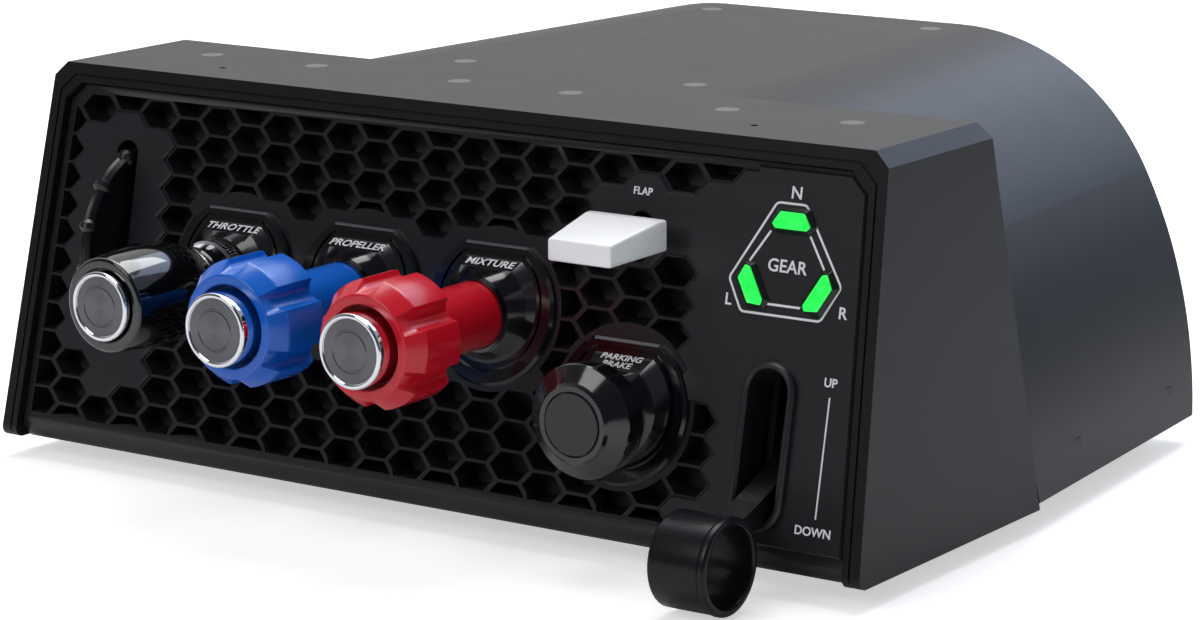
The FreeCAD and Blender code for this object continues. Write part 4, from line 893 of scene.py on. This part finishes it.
lamps = {
    "topBox": dict(place=(-0.15, 0.35, 1.35), size=1.1, power=15.5, colour=(1.0, 1.0, 1.0)),
    "rightBox": dict(place=(0.15, 1.3, 0.95), size=1.2, power=7.0, colour=(0.62, 0.75, 1.0)),
    "leftBox": dict(place=(-0.8, 0.3, 1.15), size=0.7, power=1.2, colour=(0.8, 0.86, 1.0)),
    "frontBox": dict(place=(-0.3, -1.35, 1.05), size=0.8, power=6.5, colour=(1.0, 1.0, 1.0)),
}


def makeLamp(name, place, size, power, colour):
    data = bpy.data.lights.new(name, "AREA")
    data.shape = "SQUARE"
    data.size = size
    data.energy = power
    data.color = colour
    lamp = bpy.data.objects.new(name, data)
    bpy.context.scene.collection.objects.link(lamp)
    lamp.location = place
    aim = Vector((0, 0, 0.05)) - Vector(place)
    lamp.rotation_euler = aim.to_track_quat("-Z", "Y").to_euler()


studio = {"back": 0.72, "front": 0.1, "frontEnd": -0.6, "backEnd": 0.8, "soft": 0.3, "rightShare": 0.6,
          "leftEnd": -0.35, "rightEnd": 0.3, "rightTint": (0.7, 0.79, 1.0)}
floorLook = {"half": 6.0, "drop": 0.0002, "colour": (0.8, 0.8, 0.81), "roughness": 0.9, "glow": 0.55}


# white to the eye; reflections see a bright room behind the object and a dim one in front of it
def makeWorld():
    world = bpy.data.worlds.new("studio")
    world.use_nodes = True
    tree = world.node_tree
    ground = tree.nodes["Background"]
    path = tree.nodes.new("ShaderNodeLightPath")
    split = tree.nodes.new("ShaderNodeSeparateXYZ")
    tree.links.new(tree.nodes.new("ShaderNodeTexCoord").outputs["Generated"], split.inputs[0])
    room = tree.nodes.new("ShaderNodeMapRange")
    room.interpolation_type = "SMOOTHSTEP"
    tree.links.new(split.outputs["Y"], room.inputs["Value"])
    room.inputs["From Min"].default_value = studio["frontEnd"]
    room.inputs["From Max"].default_value = studio["backEnd"]
    room.inputs["To Min"].default_value = studio["front"]
    room.inputs["To Max"].default_value = studio["back"]
    seen = mathNode(tree, "MAXIMUM", path.outputs["Is Camera Ray"], path.outputs["Is Transmission Ray"])
    side = tree.nodes.new("ShaderNodeMapRange")
    tree.links.new(split.outputs["X"], side.inputs["Value"])
    side.inputs["From Min"].default_value = studio["leftEnd"]
    side.inputs["From Max"].default_value = studio["rightEnd"]
    bluish = mathNode(tree, "MULTIPLY", side.outputs["Result"], path.outputs["Is Glossy Ray"])
    fade = mathNode(tree, "MULTIPLY_ADD", side.outputs["Result"], studio["rightShare"] - 1.0)
    fade.node.inputs[2].default_value = 1.0
    mirrored = mathNode(tree, "MULTIPLY", path.outputs["Is Glossy Ray"],
                        mathNode(tree, "MULTIPLY", room.outputs["Result"], fade))
    others = mathNode(tree, "SUBTRACT", 1.0, mathNode(tree, "MAXIMUM", seen, path.outputs["Is Glossy Ray"]))
    light = mathNode(tree, "MULTIPLY_ADD", others, studio["soft"])
    tree.links.new(mirrored, light.node.inputs[2])
    tree.links.new(mathNode(tree, "MAXIMUM", seen, light), ground.inputs["Strength"])
    tree.links.new(colourMix(tree, bluish, (1, 1, 1), studio["rightTint"]), ground.inputs["Color"])
    bpy.context.scene.world = world


def makeFloor():
    mesh = bpy.data.meshes.new("floor")
    bm = bmesh.new()
    bmesh.ops.create_grid(bm, x_segments=4, y_segments=4, size=floorLook["half"])
    bm.to_mesh(mesh)
    bm.free()
    floor = bpy.data.objects.new("floor", mesh)
    bpy.context.scene.collection.objects.link(floor)
    floor.location = (0, 0, -floorLook["drop"])
    material = bpy.data.materials.new("paleFloor")
    material.use_nodes = True
    tree = material.node_tree
    shader = tree.nodes["Principled BSDF"]
    shader.inputs["Base Color"].default_value = (*floorLook["colour"], 1)
    shader.inputs["Roughness"].default_value = floorLook["roughness"]
    shader.inputs["Emission Color"].default_value = (1, 1, 1, 1)
    path = tree.nodes.new("ShaderNodeLightPath")
    glow = mathNode(tree, "MULTIPLY", path.outputs["Is Camera Ray"], floorLook["glow"])
    tree.links.new(glow, shader.inputs["Emission Strength"])
    mesh.materials.append(material)


makeCamera()
for name, values in lamps.items():
    makeLamp(name, **values)
makeWorld()
makeFloor()
bpy.context.scene.view_settings.view_transform = "Standard"
print("stage ready")
